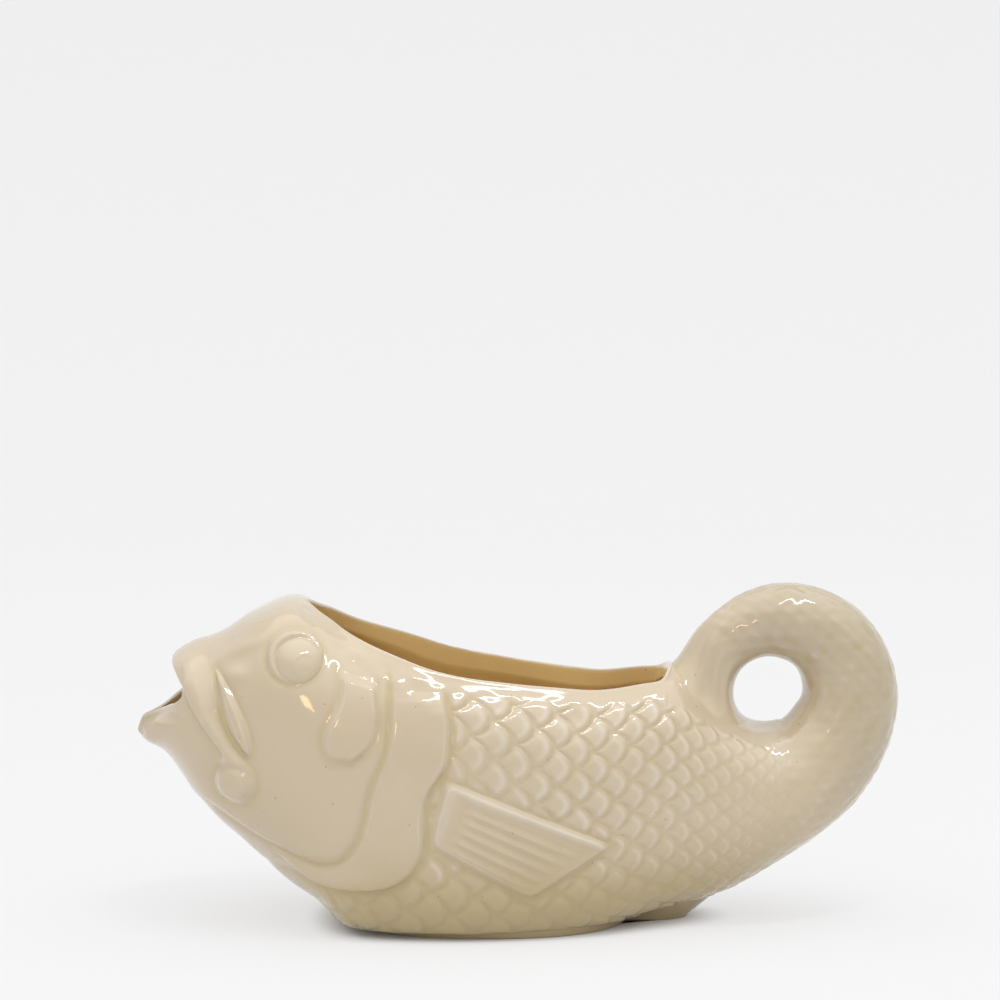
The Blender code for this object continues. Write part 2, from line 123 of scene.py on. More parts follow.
# Foot: an oval pad with a narrow heel under the rising tail, hollowed underneath. The belly runs softly
# into its flat base.
BASE_BLEND = 0.0010
FOOT_HEIGHT = 0.0015
FOOT_SETBACK = 0.0140
FOOT_LENGTH = 0.0812
FOOT_HALF_WIDTH = 0.0308
FOOT_ROUNDNESS = 2.3
FOOT_RIM = 0.0075
FOOT_TOP = 0.012
FOOT_FLARE = 0.0030
HEEL_LENGTH = 0.0180
HEEL_HALF_WIDTH = 0.0085
HEEL_FLARE = 0.0142
HEEL_BLUNTNESS = 8
HEEL_MERGE = 4

# Upper lip: front and rear edges as (distance along the skin, angle round it), from the snout to the club
# at each end
LIP_FRONT = (
    (-0.0014, 0), (-0.0002, 30), (0.0040, 62), (0.0106, 84), (0.0168, 92.5), (0.0215, 98), (0.0232, 102),
    (0.0208, 107), (0.0198, 112.5), (0.0208, 120), (0.0240, 125), (0.0278, 126.5),
)
LIP_REAR = (
    (0.0125, 0), (0.0132, 31), (0.0160, 52), (0.0200, 73), (0.0224, 83), (0.0250, 90), (0.0290, 96.8),
    (0.0343, 101), (0.0375, 108), (0.0372, 116), (0.0345, 122.5), (0.0300, 126.3),
)
CLUB_CENTRE = (0.0306, 0.0443)
CLUB_RADIUS = 0.0068
CLUB_FADE = 0.6
CLUB_RISE = 1.35
CLUB_START = (94, 9)
NECK_RISE = 0.8
NECK_RIDGE = (0.40, 0.40)
NECK_END = (108, -8)
CLUB_MERGE = 4
NECK_GAP = (1.0, 2.4)

# Outlines on the flanks, as seen from the side: (distance from the jaw tip, height)
LIP_FOLD_FRONT = ((0.0236, 0.0752), (0.0250, 0.0705), (0.0262, 0.0645), (0.0287, 0.0580), (0.0338, 0.0518))
LIP_FOLD_REAR = ((0.0246, 0.0758), (0.0288, 0.0712), (0.0330, 0.0642), (0.0360, 0.0572), (0.0358, 0.0518))

EYE_CENTRE = (0.0474, 0.0800)
EYE_HALF_LENGTH = 0.0084
EYE_HALF_HEIGHT = 0.0076
EYE_BALL_SIZE = 0.80
EYE_BALL_SHIFT = 0.13
EYE_BALL_FULLNESS = 1.05
EYE_PUPIL = (0.34, -0.32)
EYE_PUPIL_EDGE = (0.20, 0.16)
EYE_PUPIL_DEPTH = 0.10
EYE_LID = 0.40
EYE_LID_IN = (0.84, 0.30)
EYE_LID_OUT = (1.0, -0.28)
EYE_EDGE = (1.0, -0.12)

CHEEK_FRONT = ((0.0590, 0.0770), (0.0589, 0.0690), (0.0562, 0.0630), (0.0545, 0.0570), (0.0572, 0.0516))
CHEEK_REAR = ((0.0705, 0.0735), (0.0712, 0.0680), (0.0712, 0.0625), (0.0690, 0.0562), (0.0636, 0.0514))

GILL_FRONT = (
    (0.0738, 0.0727), (0.0736, 0.0629), (0.0723, 0.0538), (0.0687, 0.0446), (0.0665, 0.0350),
    (0.0644, 0.0289), (0.0605, 0.0239), (0.0549, 0.0226), (0.0489, 0.0237), (0.0412, 0.0263),
    (0.0348, 0.0288),
)
GILL_REAR = (
    (0.0900, 0.0709), (0.0914, 0.0630), (0.0914, 0.0570), (0.0898, 0.0493), (0.0853, 0.0420),
    (0.0842, 0.0322), (0.0840, 0.0270), (0.0814, 0.0209), (0.0758, 0.0163), (0.0690, 0.0148),
    (0.0590, 0.0150), (0.0490, 0.0180),
)
GILL_FRONT_TOP = (0.0735, 0.100)
GILL_REAR_TOP = (0.0880, 0.100)
CHIN_LINE = ((0.0348, 0.0288), (0.0290, 0.0320), (0.0226, 0.0355))
THROAT_LINE = ((0.0490, 0.0180), (0.0430, 0.0195), (0.0370, 0.0190))

FIN_TOP_ROOT = (0.0892, 0.0480)
FIN_TIP = (0.1378, 0.0272)
FIN_HEEL = (0.1132, 0.0116)
FIN_LOW_ROOT = (0.0842, 0.0281)
FIN_CORNERS = np.array([FIN_TOP_ROOT, FIN_TIP, FIN_HEEL, FIN_LOW_ROOT])
FIN_RIBS = 5
FIN_RIB_START = 0.24
FIN_RIB_SPAN = 0.70
FIN_RIB_LEVEL = 0.35
FIN_ROOT_LEVEL = 0.55
FIN_ROOT_WIDTH = 0.22
FIN_BAR = 0.0022
FIN_RIM_LEVEL = 0.6
FIN_RIM = 0.0018
FIN_RIM_WIDTH = 0.0014
FIN_CORNER = 0.0042
FIN_EDGE = 0.0026
FIN_MASK = (-0.0008, 0.0012)
FIN_STRIP_LEVEL = 0.8
FIN_STRIP = (0.16, -0.08)
FIN_RIBS_IN = (0.14, 0.12)
FIN_RIBS_OUT = (0.98, -0.25)

# Levels of the raised parts at their front, and widths over which they run out at their top, low end,
# front and rear
CHEEK_FRONT_LEVEL = 0.65
GILL_FRONT_LEVEL = 0.15
GILL_OVERRUN = 1.1
LIP_FOLD_RIDGE = (0.55, 0.40)
LIP_FOLD_EDGES = (0.007, 0.003)
CHEEK_EDGES = (0.004, 0.0026, 0.0032, 0.0022)
GILL_EDGES = (0.005, 0.008, 0.0024, 0.0027)

# Landing of the tail's tip on the deck: the oval where its flare meets the body
LANDING_FRONT = 0.1538
LANDING_REAR = 0.1770
LANDING_HALF_WIDTH = 0.0148
LANDING_ANGLE = 132.0
FLARE_LEAVING = 1.15
FLARE_OUTWARD = 0.60
FLARE_HOLE_SIDE = 0.70
FLARE_FRONT = (0.4, -0.4)
FLARE_UPRIGHT = 0.47
FLARE_DOWN = 0.62

# Scales: how many go round the fish, their shape as shares of the spacing of their rows, how far they
# wander, and how they fade at the foot, behind the head and past the tail's root
SCALES_ROUND = 24
SCALE_PITCH = 0.54
SCALE_REACH = 1.35
SCALE_SPREAD = 0.535
SCALE_STEEPNESS = 3.2
SCALE_FRONT = 0.45
SCALE_DOME = 0.30
SCALE_EDGE = 0.34
SCALE_GROOVE = 0.30
SCALE_CREST = 0.36
SCALE_CREST_WIDTH = 0.16
SCALE_SINK = 0.45
SCALE_START = 0.2
SCALE_STEP = 0.15
SCALE_LAYERS = np.arange(-3, 2)
SCALE_FULL_GIRTH = 0.125
SCALE_LEAST_SIZE = 0.40
SCALE_STRENGTH = 0.92
STRENGTH_WANDER = 0.20
ROW_WANDER = 0.12
ROW_WAVE = 0.021
TILE_WANDER = 0.072
TILE_WAVE = 0.018
STRENGTH_WAVE = 0.030
SCALE_BASE = (0.0020, 0.0015)
SCALE_HEAD = (0.050, 0.010)
SCALE_TAIL = (0.024, -0.052)

# Lower lip: above a ridge at this height the jaw's sides turn in towards the mouth's edge, with a pouring
# channel between them. Its tip hangs a little lower.
JAW_RIDGE = 0.0586
JAW_LIP = 0.0012
JAW_SPAN = 0.35
JAW_TURN = 0.75
JAW_TURN_BEND = 1.3
JAW_TURN_SPAN = 0.8
JAW_TURN_FADE = 0.006
JAW_OVERRUN = 0.005
JAW_HANG = 0.0017
JAW_HANG_X = 0.0030
JAW_HANG_LENGTH = 0.0040
CHANNEL_DEPTH = 0.0014
CHANNEL_FALL = 0.08
CHANNEL_END = (0.006, 0.020)
LIP_SLANT = 0.0014
MOUTH_THINNING = 0.40
JAW_TIP_TURN = (70, -40)

# Soft swellings of the head in the side view: nostril, brow line, forehead, and hollows at the rim's front
# and under the throat
Swelling = namedtuple("Swelling", "height centre half_length half_height lean")
SWELLINGS = (
    Swelling(0.0009, (0.0307, 0.0740), 0.0035, 0.0022, 25),
    Swelling(0.0007, (0.0330, 0.0815), 0.0095, 0.0016, 26),
    Swelling(0.0010, (0.0315, 0.0880), 0.0070, 0.0040, 26),
    Swelling(-0.0007, (0.0530, 0.0925), 0.0040, 0.0040, 0),
    Swelling(-0.0022, (0.0500, 0.0050), 0.0080, 0.0070, 0),
)

# Trims along the saddle and the tail's inside that round the finger hole, placed behind the tail's root
Trim = namedtuple("Trim", "height place length")
HOLE_TRIMS = (Trim(-0.0008, -0.0055, 0.0040), Trim(0.0010, 0.0060, 0.0060), Trim(0.0006, 0.028, 0.007))
HOLE_TIP_FILL = 0.0006
HOLE_TIP = (0.055, 0.015)
HOLE_TRIM_WIDTH = 0.011

# Rim: its bead, and swells outwards at its middle and upwards at its rear end
BEAD_HEIGHT = 0.00025
BEAD_WIDTH = 0.0013
RIM_SWELL = Trim(0.0010, 0.127, 0.012)
RIM_SWELL_FADE = (0.012, -0.012)
RIM_LIFT = Trim(0.0020, 0.1550, 0.0042)
RIM_LIFT_WIDTH = 0.010

# Smooth places: the fade into the band under the rim, the arcs below the back line that stay smooth from
# the deck to the tail's tip, the step between head and gill cover, the soft grooves, and the fades behind
# the head, at the mouth and on to the tail
SHOULDER_FADE = 0.0030
SADDLE_ARCS = (0.022, 0.016, 0.012, 0.007, 0.006)
HEAD_FADE = 0.0020
HEAD_TOP = (0.008, 0.012)
GILL_FADE = 0.0014
GROOVE_WIDTH = 0.0010
OUTLINE_GROOVE = 0.6
BEHIND_HEAD = 0.004
MOUTH_FADE = 0.002
TAIL_START = (-0.010, 0.025)

# Depth of glaze: on the scales, in the grooves of the head and round the raised parts, low on the body where
# it is painted shade, on the hammered tail, thinner over its saddle as a painted sheen, on the edges, inside
# the bowl where it brings in painted warm bounce light, at the flare's foot and on the raised parts
SCALE_GLAZE = -0.12
SCALE_GROOVE_GLAZE = 0.65
SCALE_CREST_GLAZE = 0.45
GROOVE_GLAZE = 0.8
OUTLINE_GLAZE = 0.5
# Painted shade: glaze made deeper towards the bottom of the body
LOW_SHADE_DEPTH = 1.5
LOW_SHADE_DEPTH_Z = (0.024, -0.022)
TAIL_GLAZE = 0.15
HAMMER_GLAZE = 0.45
# Painted sheen: glaze thinned and paler over the saddle
SADDLE_SHEEN = 0.8
SADDLE_SHEEN_FADE = (0.030, -0.030)
SADDLE_SHEEN_LENGTH = 0.014
CREST_GLAZE = 0.35
CREST_PLACE = (0.85, 0.12)
LIP_GLAZE = -0.2
EYE_GLAZE = -0.15
EYE_GROOVE_GLAZE = 0.4
EYE_GROOVE = (0.97, 0.07)
FIN_GLAZE = -0.35
FIN_VALLEY_GLAZE = 0.75
MOUTH_GLAZE = -0.1
FOOT_GLAZE = 0.2
# Painted warm bounce light inside the bowl, kept off the mouth
INNER_BOUNCE_GLAZE = -2.0
INNER_BOUNCE_GLAZE_X = (0.0085, 0.0040)
EDGE_GLAZE = (-0.2, -0.7, INNER_BOUNCE_GLAZE)
EDGE_GLAZE_ROWS = (0, 3, 6)
VALLEY_GLAZE = 0.5
VALLEY_START = (0.6, 0.3)

# Unevenness of the hand-dipped ware: how many waves it has, the heights and lengths of those all over, of
# the tail's hammering and of the lumps under the rim, where these fade, and the share left on the head
WAVE_COUNT = 9
WAVE_GAIN = 1.5
UNEVEN_HEIGHT = 0.00012
UNEVEN_WAVE = 0.0095
HAMMER_HEIGHT = 0.00018
HAMMER_WAVE = 0.0034
HAMMER_CLEARANCE = 0.009
LUMP_HEIGHT = 0.00030
LUMP_WAVE = 0.0062
LUMPS_TOP = (0.0020, 0.0030)
LUMPS_LOW = (0.014, -0.004)
LUMPS_REAR = (0.150, -0.025)
HEAD_UNEVENNESS = 0.4

# Edges and joints
RIM_ROUND = 0.0010
MOUTH_ROUND = 0.0011
FOOT_ROUND = 0.0007
FOOT_BITE = 0.0022
INNER_MARGIN = 0.0015
SPRIG_SINK = 0.00006
SPRIG_ROOT = 0.0008
LIP_NOSE = 0.0020
LIP_TUCK = 0.0021
LIP_WRAP = 0.22
LIP_CROWN = 0.45
LIP_CROWN_TURN = 70
LIP_SWELL = 0.55
LIP_SWELL_RISE = 0.45
LIP_REAR_FADE = (1.0, -0.50)
LEAN_SHARE = 0.85
FLANK_LIMIT = 0.985
MERGE_DISTANCE = 1e-7

# Glaze material: the scale and detail of its clouds and grain and how much they vary its depth, the ranges
# of depth for its colours, including the painted warm bounce light inside the bowl, its specks, and the
# places
# where painted shade darkens it: low on the belly, behind the chin, at the tail's rear and over its landing
CLOUDS = (55.0, 3.0)
CLOUD_DEPTH = 0.35
GRAIN = (260.0, 2.0)
GRAIN_DEPTH = 0.40
RIPPLE = (160.0, 1.0)
POOLED_DEPTH = (0.0, 1.0)
THIN_DEPTH = (0.0, 0.7)
# Depths that show the painted warm bounce light inside the bowl
BOUNCE_LIGHT_DEPTH = (1.2, 1.7)
# Share of the painted low shade colour
LOW_SHADE_SHARE = 0.75
SPECK_SCALE = 170.0
SPECK_SIZE = (0.026, 0.050)
SPECK_SHARE = 0.60
SPECK_PIT = 0.3
# Painted shade low on the belly, from behind the chin back
LOW_SHADE_HEIGHTS = (0.004, 0.036)
LOW_SHADE_START_X = (-0.060, -0.035)
# Painted shade at the tail's rear and over its landing
TAIL_SHADE_X = (0.080, 0.100)
LANDING_SHADE_X = (0.050, 0.072)
LANDING_SHADE_Z = (0.062, 0.082)

# Stage: the floor's paper and the share of its white that shows through the shadow, the heights between
# which the surround brightens, the sweep of the backdrop, the lamps, and the camera's place (X from the jaw's
# tip) and downward tilt
PAPER_WHITE = (0.900, 0.900, 0.905)
PAPER_SHARE = 0.72
CONTACT_REACH = 0.010
OPEN_RANGE = (0.0, 0.7)
SKY_RANGE = (0.35, 0.95)
FLOOR_FRONT = -1.6
FLOOR_BACK = 0.9
SWEEP_RADIUS = 0.6
WALL_TOP = 2.4
STAGE_HALF_WIDTH = 2.0
Lamp = namedtuple("Lamp", "size place target colour")
TOP_LAMP = Lamp((0.50, 0.06), (0.24, -0.30, 1.05), (0.0, 0.0, 0.05), (1.0, 1.0, 1.0))
WARM_LAMP = Lamp((0.10, 0.13), (-0.31, -0.97, 0.385), (-0.06, -0.03, 0.07), (1.0, 0.62, 0.28))
CAMERA_PLACE = (0.1048, -0.98325, 0.22724)
CAMERA_TILT = 6.1466
SENSOR_WIDTH = 36.0

# Grids
CORNER_STEPS = 5
FACE_STEPS = 5
VESSEL_HEAD_ROWS = 44
VESSEL_BACK_STEP = 0.00060
VESSEL_END_ROWS = 14
VESSEL_END_LENGTH = 0.005
VESSEL_HALF_COLUMNS = 150
LOWER_GIRTH = 0.64
INNER_HALF_COLUMNS = 32
INNER_STEP = 0.0022
INNER_START = 0.0045
INNER_HEAD_ROWS = 22
INNER_END_ROWS = 8
INNER_REAR_ROWS = 8
ROLL_STEPS = 8
GIRTH_STEPS = 241
TAIL_STEP = 0.00060
TAIL_COLUMNS = 180
FLARE_ROWS = 22
SEAM_ROWS = 3
SEAM_SINK = 0.000015
FOOT_POINTS = 240
FOOT_SIDE_ROWS = 14
FOOT_LEAST_REACH = 0.02
BOWL_END_TURNS = (12, 84, 7)
LIP_GRID = (301, 49)
LIP_FOLD_GRID = (61, 21)
EYE_GRID = (45, 121)
CHEEK_GRID = (71, 45)
GILL_GRID = (141, 49)
FIN_GRID = (91, 91)


def size_prop(name, description, default):
    """Property for a length in metres."""
    return bpy.props.FloatProperty(name=name, description=description, default=default, unit="LENGTH")


def colour_prop(name, description, default):
    """Property for a colour."""
    return bpy.props.FloatVectorProperty(name=name, description=description, default=default,
                                         subtype="COLOR", min=0, max=1)


def number_prop(name, description, default, **limits):
    """Property for a number from zero up."""
    return bpy.props.FloatProperty(name=name, description=description, default=default, min=0, **limits)


class VesselSizes(bpy.types.PropertyGroup):
    """Sizes of the hollow body and of the relief moulded into it."""

    wall: size_prop("Wall", "Thickness of the earthenware wall", 0.004)
    scale_height: size_prop("Scale height", "How far the scales stand out", 0.00098)
    head_height: size_prop("Head height", "Step from the head down to the gill cover", 0.0005)
    shoulder: size_prop("Shoulder", "Width of the smooth band under the rim", 0.0042)
    groove: size_prop("Groove", "Depth of the soft groove round the raised parts", 0.00040)


class ReliefSizes(bpy.types.PropertyGroup):
    """Heights of the raised parts on the head and flanks."""

    lip: size_prop("Lip", "Height of the rolled upper lip", 0.0015)
    lip_fold: size_prop("Lip fold", "Height of the fold behind the lip", 0.0011)
    eye: size_prop("Eye", "Height of the domed eye", 0.0022)
    cheek: size_prop("Cheek", "Height of the cheek plate", 0.0011)
    gill: size_prop("Gill cover", "Height of the gill cover's free edge", 0.0012)
    fin: size_prop("Fin", "Height of the pectoral fin", 0.0012)
    fin_rib: size_prop("Fin rib", "Depth between the fin's ribs", 0.0006)


class GlazeColours(bpy.types.PropertyGroup):
    """Colours and gloss of the cream glaze, with the colours of its painted shade and painted warm bounce
    light.
    """

    cream: colour_prop("Cream", "Glaze of even depth", (0.550, 0.455, 0.320))
    pooled: colour_prop("Pooled", "Glaze gathered in the grooves", (0.500, 0.405, 0.220))
    # Painted shade low on the belly, darker and warmer towards the base
    low_shade: colour_prop("Gathered", "Glaze run down to the belly", (0.420, 0.325, 0.160))
    # Painted shade round the tail, multiplied into the glaze colour
    tail_shade: colour_prop("Tail tint", "Tint that deepens the glaze round the tail", (0.85, 0.86, 0.86))
    # Painted warm bounce light inside the bowl
    inside: colour_prop("Inside", "Deep glaze inside the bowl", (0.76, 0.56, 0.25))
    thin: colour_prop("Thin", "Glaze drawn thin over raised edges", (0.620, 0.550, 0.440))
    speck: colour_prop("Speck", "Small dark specks in the glaze", (0.20, 0.15, 0.10))
    roughness: number_prop("Roughness", "Roughness of the glaze", 0.09, max=1, subtype="FACTOR")


class StageLook(bpy.types.PropertyGroup):
    """Floor, lamps and camera."""

    floor: colour_prop("Floor", "Colour of the floor and backdrop", (0.77, 0.77, 0.775))
    zenith: number_prop("Overhead", "Brightness of the white surround overhead", 1.7)
    horizon: number_prop("Horizon", "Brightness of the white surround at eye level", 0.66)
    top_lamp: number_prop("Top lamp", "Power of the soft box overhead", 2.0, unit="POWER")
    warm_lamp: number_prop("Warm lamp", "Power of the small warm lamp", 0.35, unit="POWER")
    lens: number_prop("Lens", "Focal length of the camera", 124.0, unit="CAMERA")


def natural_spline(knots, values):
    """Return a function of position for the natural cubic spline through one row of values per knot."""
    knots = np.asarray(knots, float)
    values = np.asarray(values, float)
    spans = np.diff(knots)
    system = np.eye(len(knots))
    bends = np.zeros_like(values)
    slopes = np.diff(values, axis=0) / spans[:, None]
    for i in range(1, len(knots) - 1):
        system[i, i - 1:i + 2] = spans[i - 1], 2 * (spans[i - 1] + spans[i]), spans[i]
        bends[i] = 6 * (slopes[i] - slopes[i - 1])
    bends = np.linalg.solve(system, bends)

    def spline(position):
        position = np.asarray(position, float)
        i = np.clip(np.searchsorted(knots, position, side="right") - 1, 0, len(spans) - 1)
        span = spans[i][..., None]
        after = (position - knots[i])[..., None] / span
        before = 1 - after
        curve = (before ** 3 - before) * bends[i] + (after ** 3 - after) * bends[i + 1]
        return before * values[i] + after * values[i + 1] + curve * span ** 2 / 6

    return spline


def smooth_path(points, steps):
    """Sample a spline through the points, with the given number of even steps along it."""
    points = np.asarray(points, float)
    return natural_spline(np.linspace(0, 1, len(points)), points)(np.linspace(0, 1, steps))


def ease(share):
    """Smooth step: 0 up to share 0, 1 from share 1 on, 3s^2 - 2s^3 between."""
    share = np.clip(share, 0, 1)
    return share * share * (3 - 2 * share)


def ramp(value, start, width):
    """Smooth step from 0 at a start to 1 a width further on. A negative width runs the other way."""
    return ease((value - start) / width)


def up_from(level, share):
    """Value that goes from a level at share 0 to 1 at share 1."""
    return level + (1 - level) * share


def hump(value, middle, width):
    """Bell curve exp(-((v - middle) / width)^2)."""
    return np.exp(-((value - middle) / width) ** 2)


def quarter_round(share):
    """Quarter circle: height sqrt(1 - (1 - s)^2) at a share s of the rounding's width."""
    return np.sqrt(1 - (1 - np.clip(share, 0, 1)) ** 2)


SECTION_X = np.cumsum([section.step for section in BODY])
HOLE_CENTRE = np.array([SECTION_X[-1] + HOLE_SETBACK, HAUNCH.back + HOLE_RISE])
FOOT_FRONT = SECTION_X[BODY.index(BROW)] + FOOT_SETBACK
OPENING_FRONT = SECTION_X[BODY.index(BROW)] + OPENING_SETBACK
OPENING_REAR = SECTION_X[BODY.index(DECK)] + OPENING_OVERRUN


def skin_rows():
    """One row per section: back x and z, belly x and z, half width and boxiness."""
    rows = []
    for x, section in zip(SECTION_X, BODY):
        half_lean = section.lean / 2
        rows.append((x + half_lean, section.back, x - half_lean, section.belly,
                     section.half_width, section.boxiness))
    for curl in TAIL:
        outward = np.array([math.cos(math.radians(curl.angle)), math.sin(math.radians(curl.angle))])
        inner = HOLE_CENTRE + HOLE_RADIUS * outward
        outer = HOLE_CENTRE + (HOLE_RADIUS + curl.thickness) * outward
        rows.append((*inner, *outer, curl.half_width, TAIL_ROUNDNESS))
    return np.array(rows)


ROWS = skin_rows()
MIDDLES = (ROWS[:, 0:2] + ROWS[:, 2:4]) / 2
KNOTS = np.concatenate([[0.0], np.cumsum(np.linalg.norm(np.diff(MIDDLES, axis=0), axis=1))])
SKIN_ROW = natural_spline(KNOTS, ROWS)
ROOT = KNOTS[len(BODY)]
TIP = KNOTS[-1]
NUDGE = 0.00005
TURN_NUDGE = 0.05


def section_at(along):
    """Middle, upward direction, half height, half width and boxiness of the section at a distance along."""
    row = SKIN_ROW(np.maximum(along, 0.0))
    upward = (row[..., 0:2] - row[..., 2:4]) / 2
    half_height = np.linalg.norm(upward, axis=-1)
    upward = upward / half_height[..., None]
    forward = np.stack([-upward[..., 1], upward[..., 0]], axis=-1)
    middle = (row[..., 0:2] + row[..., 2:4]) / 2 + forward * np.maximum(-along, 0.0)[..., None]
    return middle, upward, half_height, row[..., 4], row[..., 5]


def roundness(rise, boxiness):
    """Exponent of the section's rounded outline: the back's own above the middle, the belly's below it."""
    return np.where(rise > 0, np.minimum(BACK_ROUNDNESS, boxiness), boxiness)


def girth_shares(degrees, boxiness):
    """Shares of half height and half width at an angle from the back line, round towards the left side."""
    rise = np.cos(np.radians(degrees))
    spread = np.sin(np.radians(degrees))
    power = roundness(rise, boxiness)
    size = (np.abs(rise) ** power + np.abs(spread) ** power) ** (1 / power)
    return rise / size, spread / size


def other_share(share, power):
    """Second share of a rounded outline |rise|^n + |spread|^n = 1, given the first."""
    return (1 - np.abs(share) ** power) ** (1 / power)


def on_base(z):
    """Height run softly into the flat base: (z + b + sqrt((z - b)^2 + k^2)) / 2 for a base b."""
    above = z - FOOT_HEIGHT
    return FOOT_HEIGHT + (above + np.sqrt(above ** 2 + BASE_BLEND ** 2)) / 2


def skin(along, degrees):
    """Points of the skin: a rounded section, |rise|^n + |spread|^n = 1, set along the bent middle line."""
    along, degrees = np.broadcast_arrays(np.asarray(along, float), np.asarray(degrees, float))
    middle, upward, half_height, half_width, boxiness = section_at(along)
    rise, spread = girth_shares(degrees, boxiness)
    centre = middle + upward * (half_height * rise)[..., None]
    return np.stack([centre[..., 0], -half_width * spread, on_base(centre[..., 1])], axis=-1)


def unit(vectors):
    """Vectors scaled to length one."""
    return vectors / np.maximum(np.linalg.norm(vectors, axis=-1, keepdims=True), 1e-12)


def square_to(vectors, axes):
    """Unit vectors with their part along the unit axes taken away."""
    return unit(vectors - axes * np.sum(vectors * axes, axis=-1, keepdims=True))


def skin_normal(along, degrees):
    """Outward normal of the skin: the cross product of its slopes along the fish and round it."""
    along, degrees = np.broadcast_arrays(np.asarray(along, float), np.asarray(degrees, float))
    lengthwise = skin(along + NUDGE, degrees) - skin(along - NUDGE, degrees)
    around = skin(along, degrees + TURN_NUDGE) - skin(along, degrees - TURN_NUDGE)
    return unit(np.cross(around, lengthwise))


def below_skin(along, degrees, depth):
    """Points at a depth below the skin, measured square to it."""
    return skin(along, degrees) - skin_normal(along, degrees) * depth


def lifted(along, degrees, height):
    """Points at a height above the skin, measured square to it, with the jaw's sides turned in."""
    return jaw_turned(below_skin(along, degrees, -np.asarray(height)[..., None]), degrees)


def on_jaw(degrees, span=JAW_SPAN):
    """Share of an angle in the jaw: 0 up to the mouth's corner, 1 from a span of rise below it."""
    turned = np.abs(np.mod(degrees + 180, 360) - 180)
    rise, _ = girth_shares(turned, np.full_like(turned, MOUTH.boxiness))
    return ease((NOTCH_LEVEL - rise) / span)


def jaw_edge(x):
    """Height of the jaw's edge at x, from its tip back to the mouth's corner, and the x of that corner."""
    degrees = np.linspace(180, 80, 60)
    edge = skin(notch(degrees), degrees)
    return np.interp(x, edge[:, 0], edge[:, 2]), edge[-1, 0]


def jaw_turned(points, degrees):
    """Points with the jaw's sides turned in and its tip hung a little lower.

    Y is multiplied by 1 - k t^n, t going from 0 at the jaw's ridge to 1 at its edge.
    """
    x = points[..., 0]
    z = points[..., 2]
    top, corner = jaw_edge(x)
    ridge = np.minimum(JAW_RIDGE, top - JAW_LIP)
    share = np.clip((z - ridge) / (top - ridge), 0, 1)
    ahead = ease((corner + JAW_OVERRUN - x) / JAW_TURN_FADE)
    hang = ease((JAW_RIDGE - z) / JAW_HANG_LENGTH) * hump(x, JAW_HANG_X, JAW_HANG_LENGTH)
    turned = points.copy()
    turned[..., 1] *= 1 - JAW_TURN * on_jaw(degrees, JAW_TURN_SPAN) * ahead * share ** JAW_TURN_BEND
    turned[..., 2] -= JAW_HANG * on_jaw(degrees) * hang
    return turned


def channel_filled(points):
    """Inner points raised to the floor of the jaw's pouring channel, which drops away behind the mouth."""
    drop = CHANNEL_DEPTH + CHANNEL_FALL * ramp(points[..., 0], *CHANNEL_END)
    filled = points.copy()
    filled[..., 2] = np.maximum(points[..., 2], jaw_edge(points[..., 0])[0] - drop)
    return filled


def kept_apart(points, normals, depth):
    """Normals leaned upright near the middle plane, so that points at a depth below don't cross it."""
    limit = LEAN_SHARE * np.abs(points[..., 1]) / depth
    across = np.clip(normals[..., 1], -limit, limit)
    lean = np.sqrt((1 - across ** 2) / np.maximum(1 - normals[..., 1] ** 2, 1e-6))
    leaned = normals * lean[..., None]
    leaned[..., 1] = across
    return leaned


def along_at(x, z):
    """Distance along the skin of the section that passes through a point of the side view."""
    along = np.interp(x, MIDDLES[:len(BODY) + 1, 0], KNOTS[:len(BODY) + 1])
    for _ in range(14):
        middle, upward, *_ = section_at(along)
        section_x = middle[..., 0] + (z - middle[..., 1]) * upward[..., 0] / upward[..., 1]
        along = along + (x - section_x)
    return along


def on_flank(points):
    """Places on the left flank, as distance along and angle round, of points (x, z) of the side view."""
    points = np.asarray(points, float)
    along = along_at(points[..., 0], points[..., 1])
    middle, upward, half_height, _, boxiness = section_at(along)
    rise = np.sum((points - middle) * upward, axis=-1) / half_height
    rise = np.clip(rise, -FLANK_LIMIT, FLANK_LIMIT)
    spread = other_share(rise, roundness(rise, boxiness))
    return along, np.degrees(np.arctan2(spread, rise))


def girth_arcs(along):
    """Angles from the back line to the belly line, and the arc from the belly to each, per section."""
    degrees = np.linspace(0, 180, GIRTH_STEPS)
    points = skin(along[:, None], degrees)
    steps = np.linalg.norm(np.diff(points, axis=1), axis=-1)
    arcs = np.concatenate([np.zeros((len(along), 1)), np.cumsum(steps, axis=1)], axis=1)
    return degrees, arcs[:, -1:] - arcs


def girth_columns(along, top_degrees, half_columns):
    """Angles of columns round each section, from its top angle on the left, under the belly, to the right.

    Up to a fixed share of the half girth the columns don't depend on the top angle.
    """
    degrees, arcs = girth_arcs(along)
    lower = round(half_columns * LOWER_GIRTH)
    upper = half_columns - lower
    left = []
    for row, top in zip(arcs, top_degrees):
        level = LOWER_GIRTH * row[0]
        above = np.linspace(np.interp(top, degrees, row), level, upper + 1)[:-1]
        wanted = np.concatenate([above, np.linspace(level, 0, lower + 1)])
        left.append(np.interp(wanted, row[::-1], degrees[::-1]))
    left = np.array(left)
    return np.concatenate([left, 360 - left[:, -2::-1]], axis=1)


def look_up(table, rows, columns):
    """Values of a table at fractional rows and columns, weighted between its four nearest entries."""
    rows = np.clip(rows, 0, table.shape[0] - 1.001)
    columns = np.clip(columns, 0, table.shape[1] - 1.001)
    i = rows.astype(int)
    j = columns.astype(int)
    down = rows - i
    over = columns - j
    upper = table[i, j] * (1 - over) + table[i, j + 1] * over
    lower = table[i + 1, j] * (1 - over) + table[i + 1, j + 1] * over
    return upper * (1 - down) + lower * down


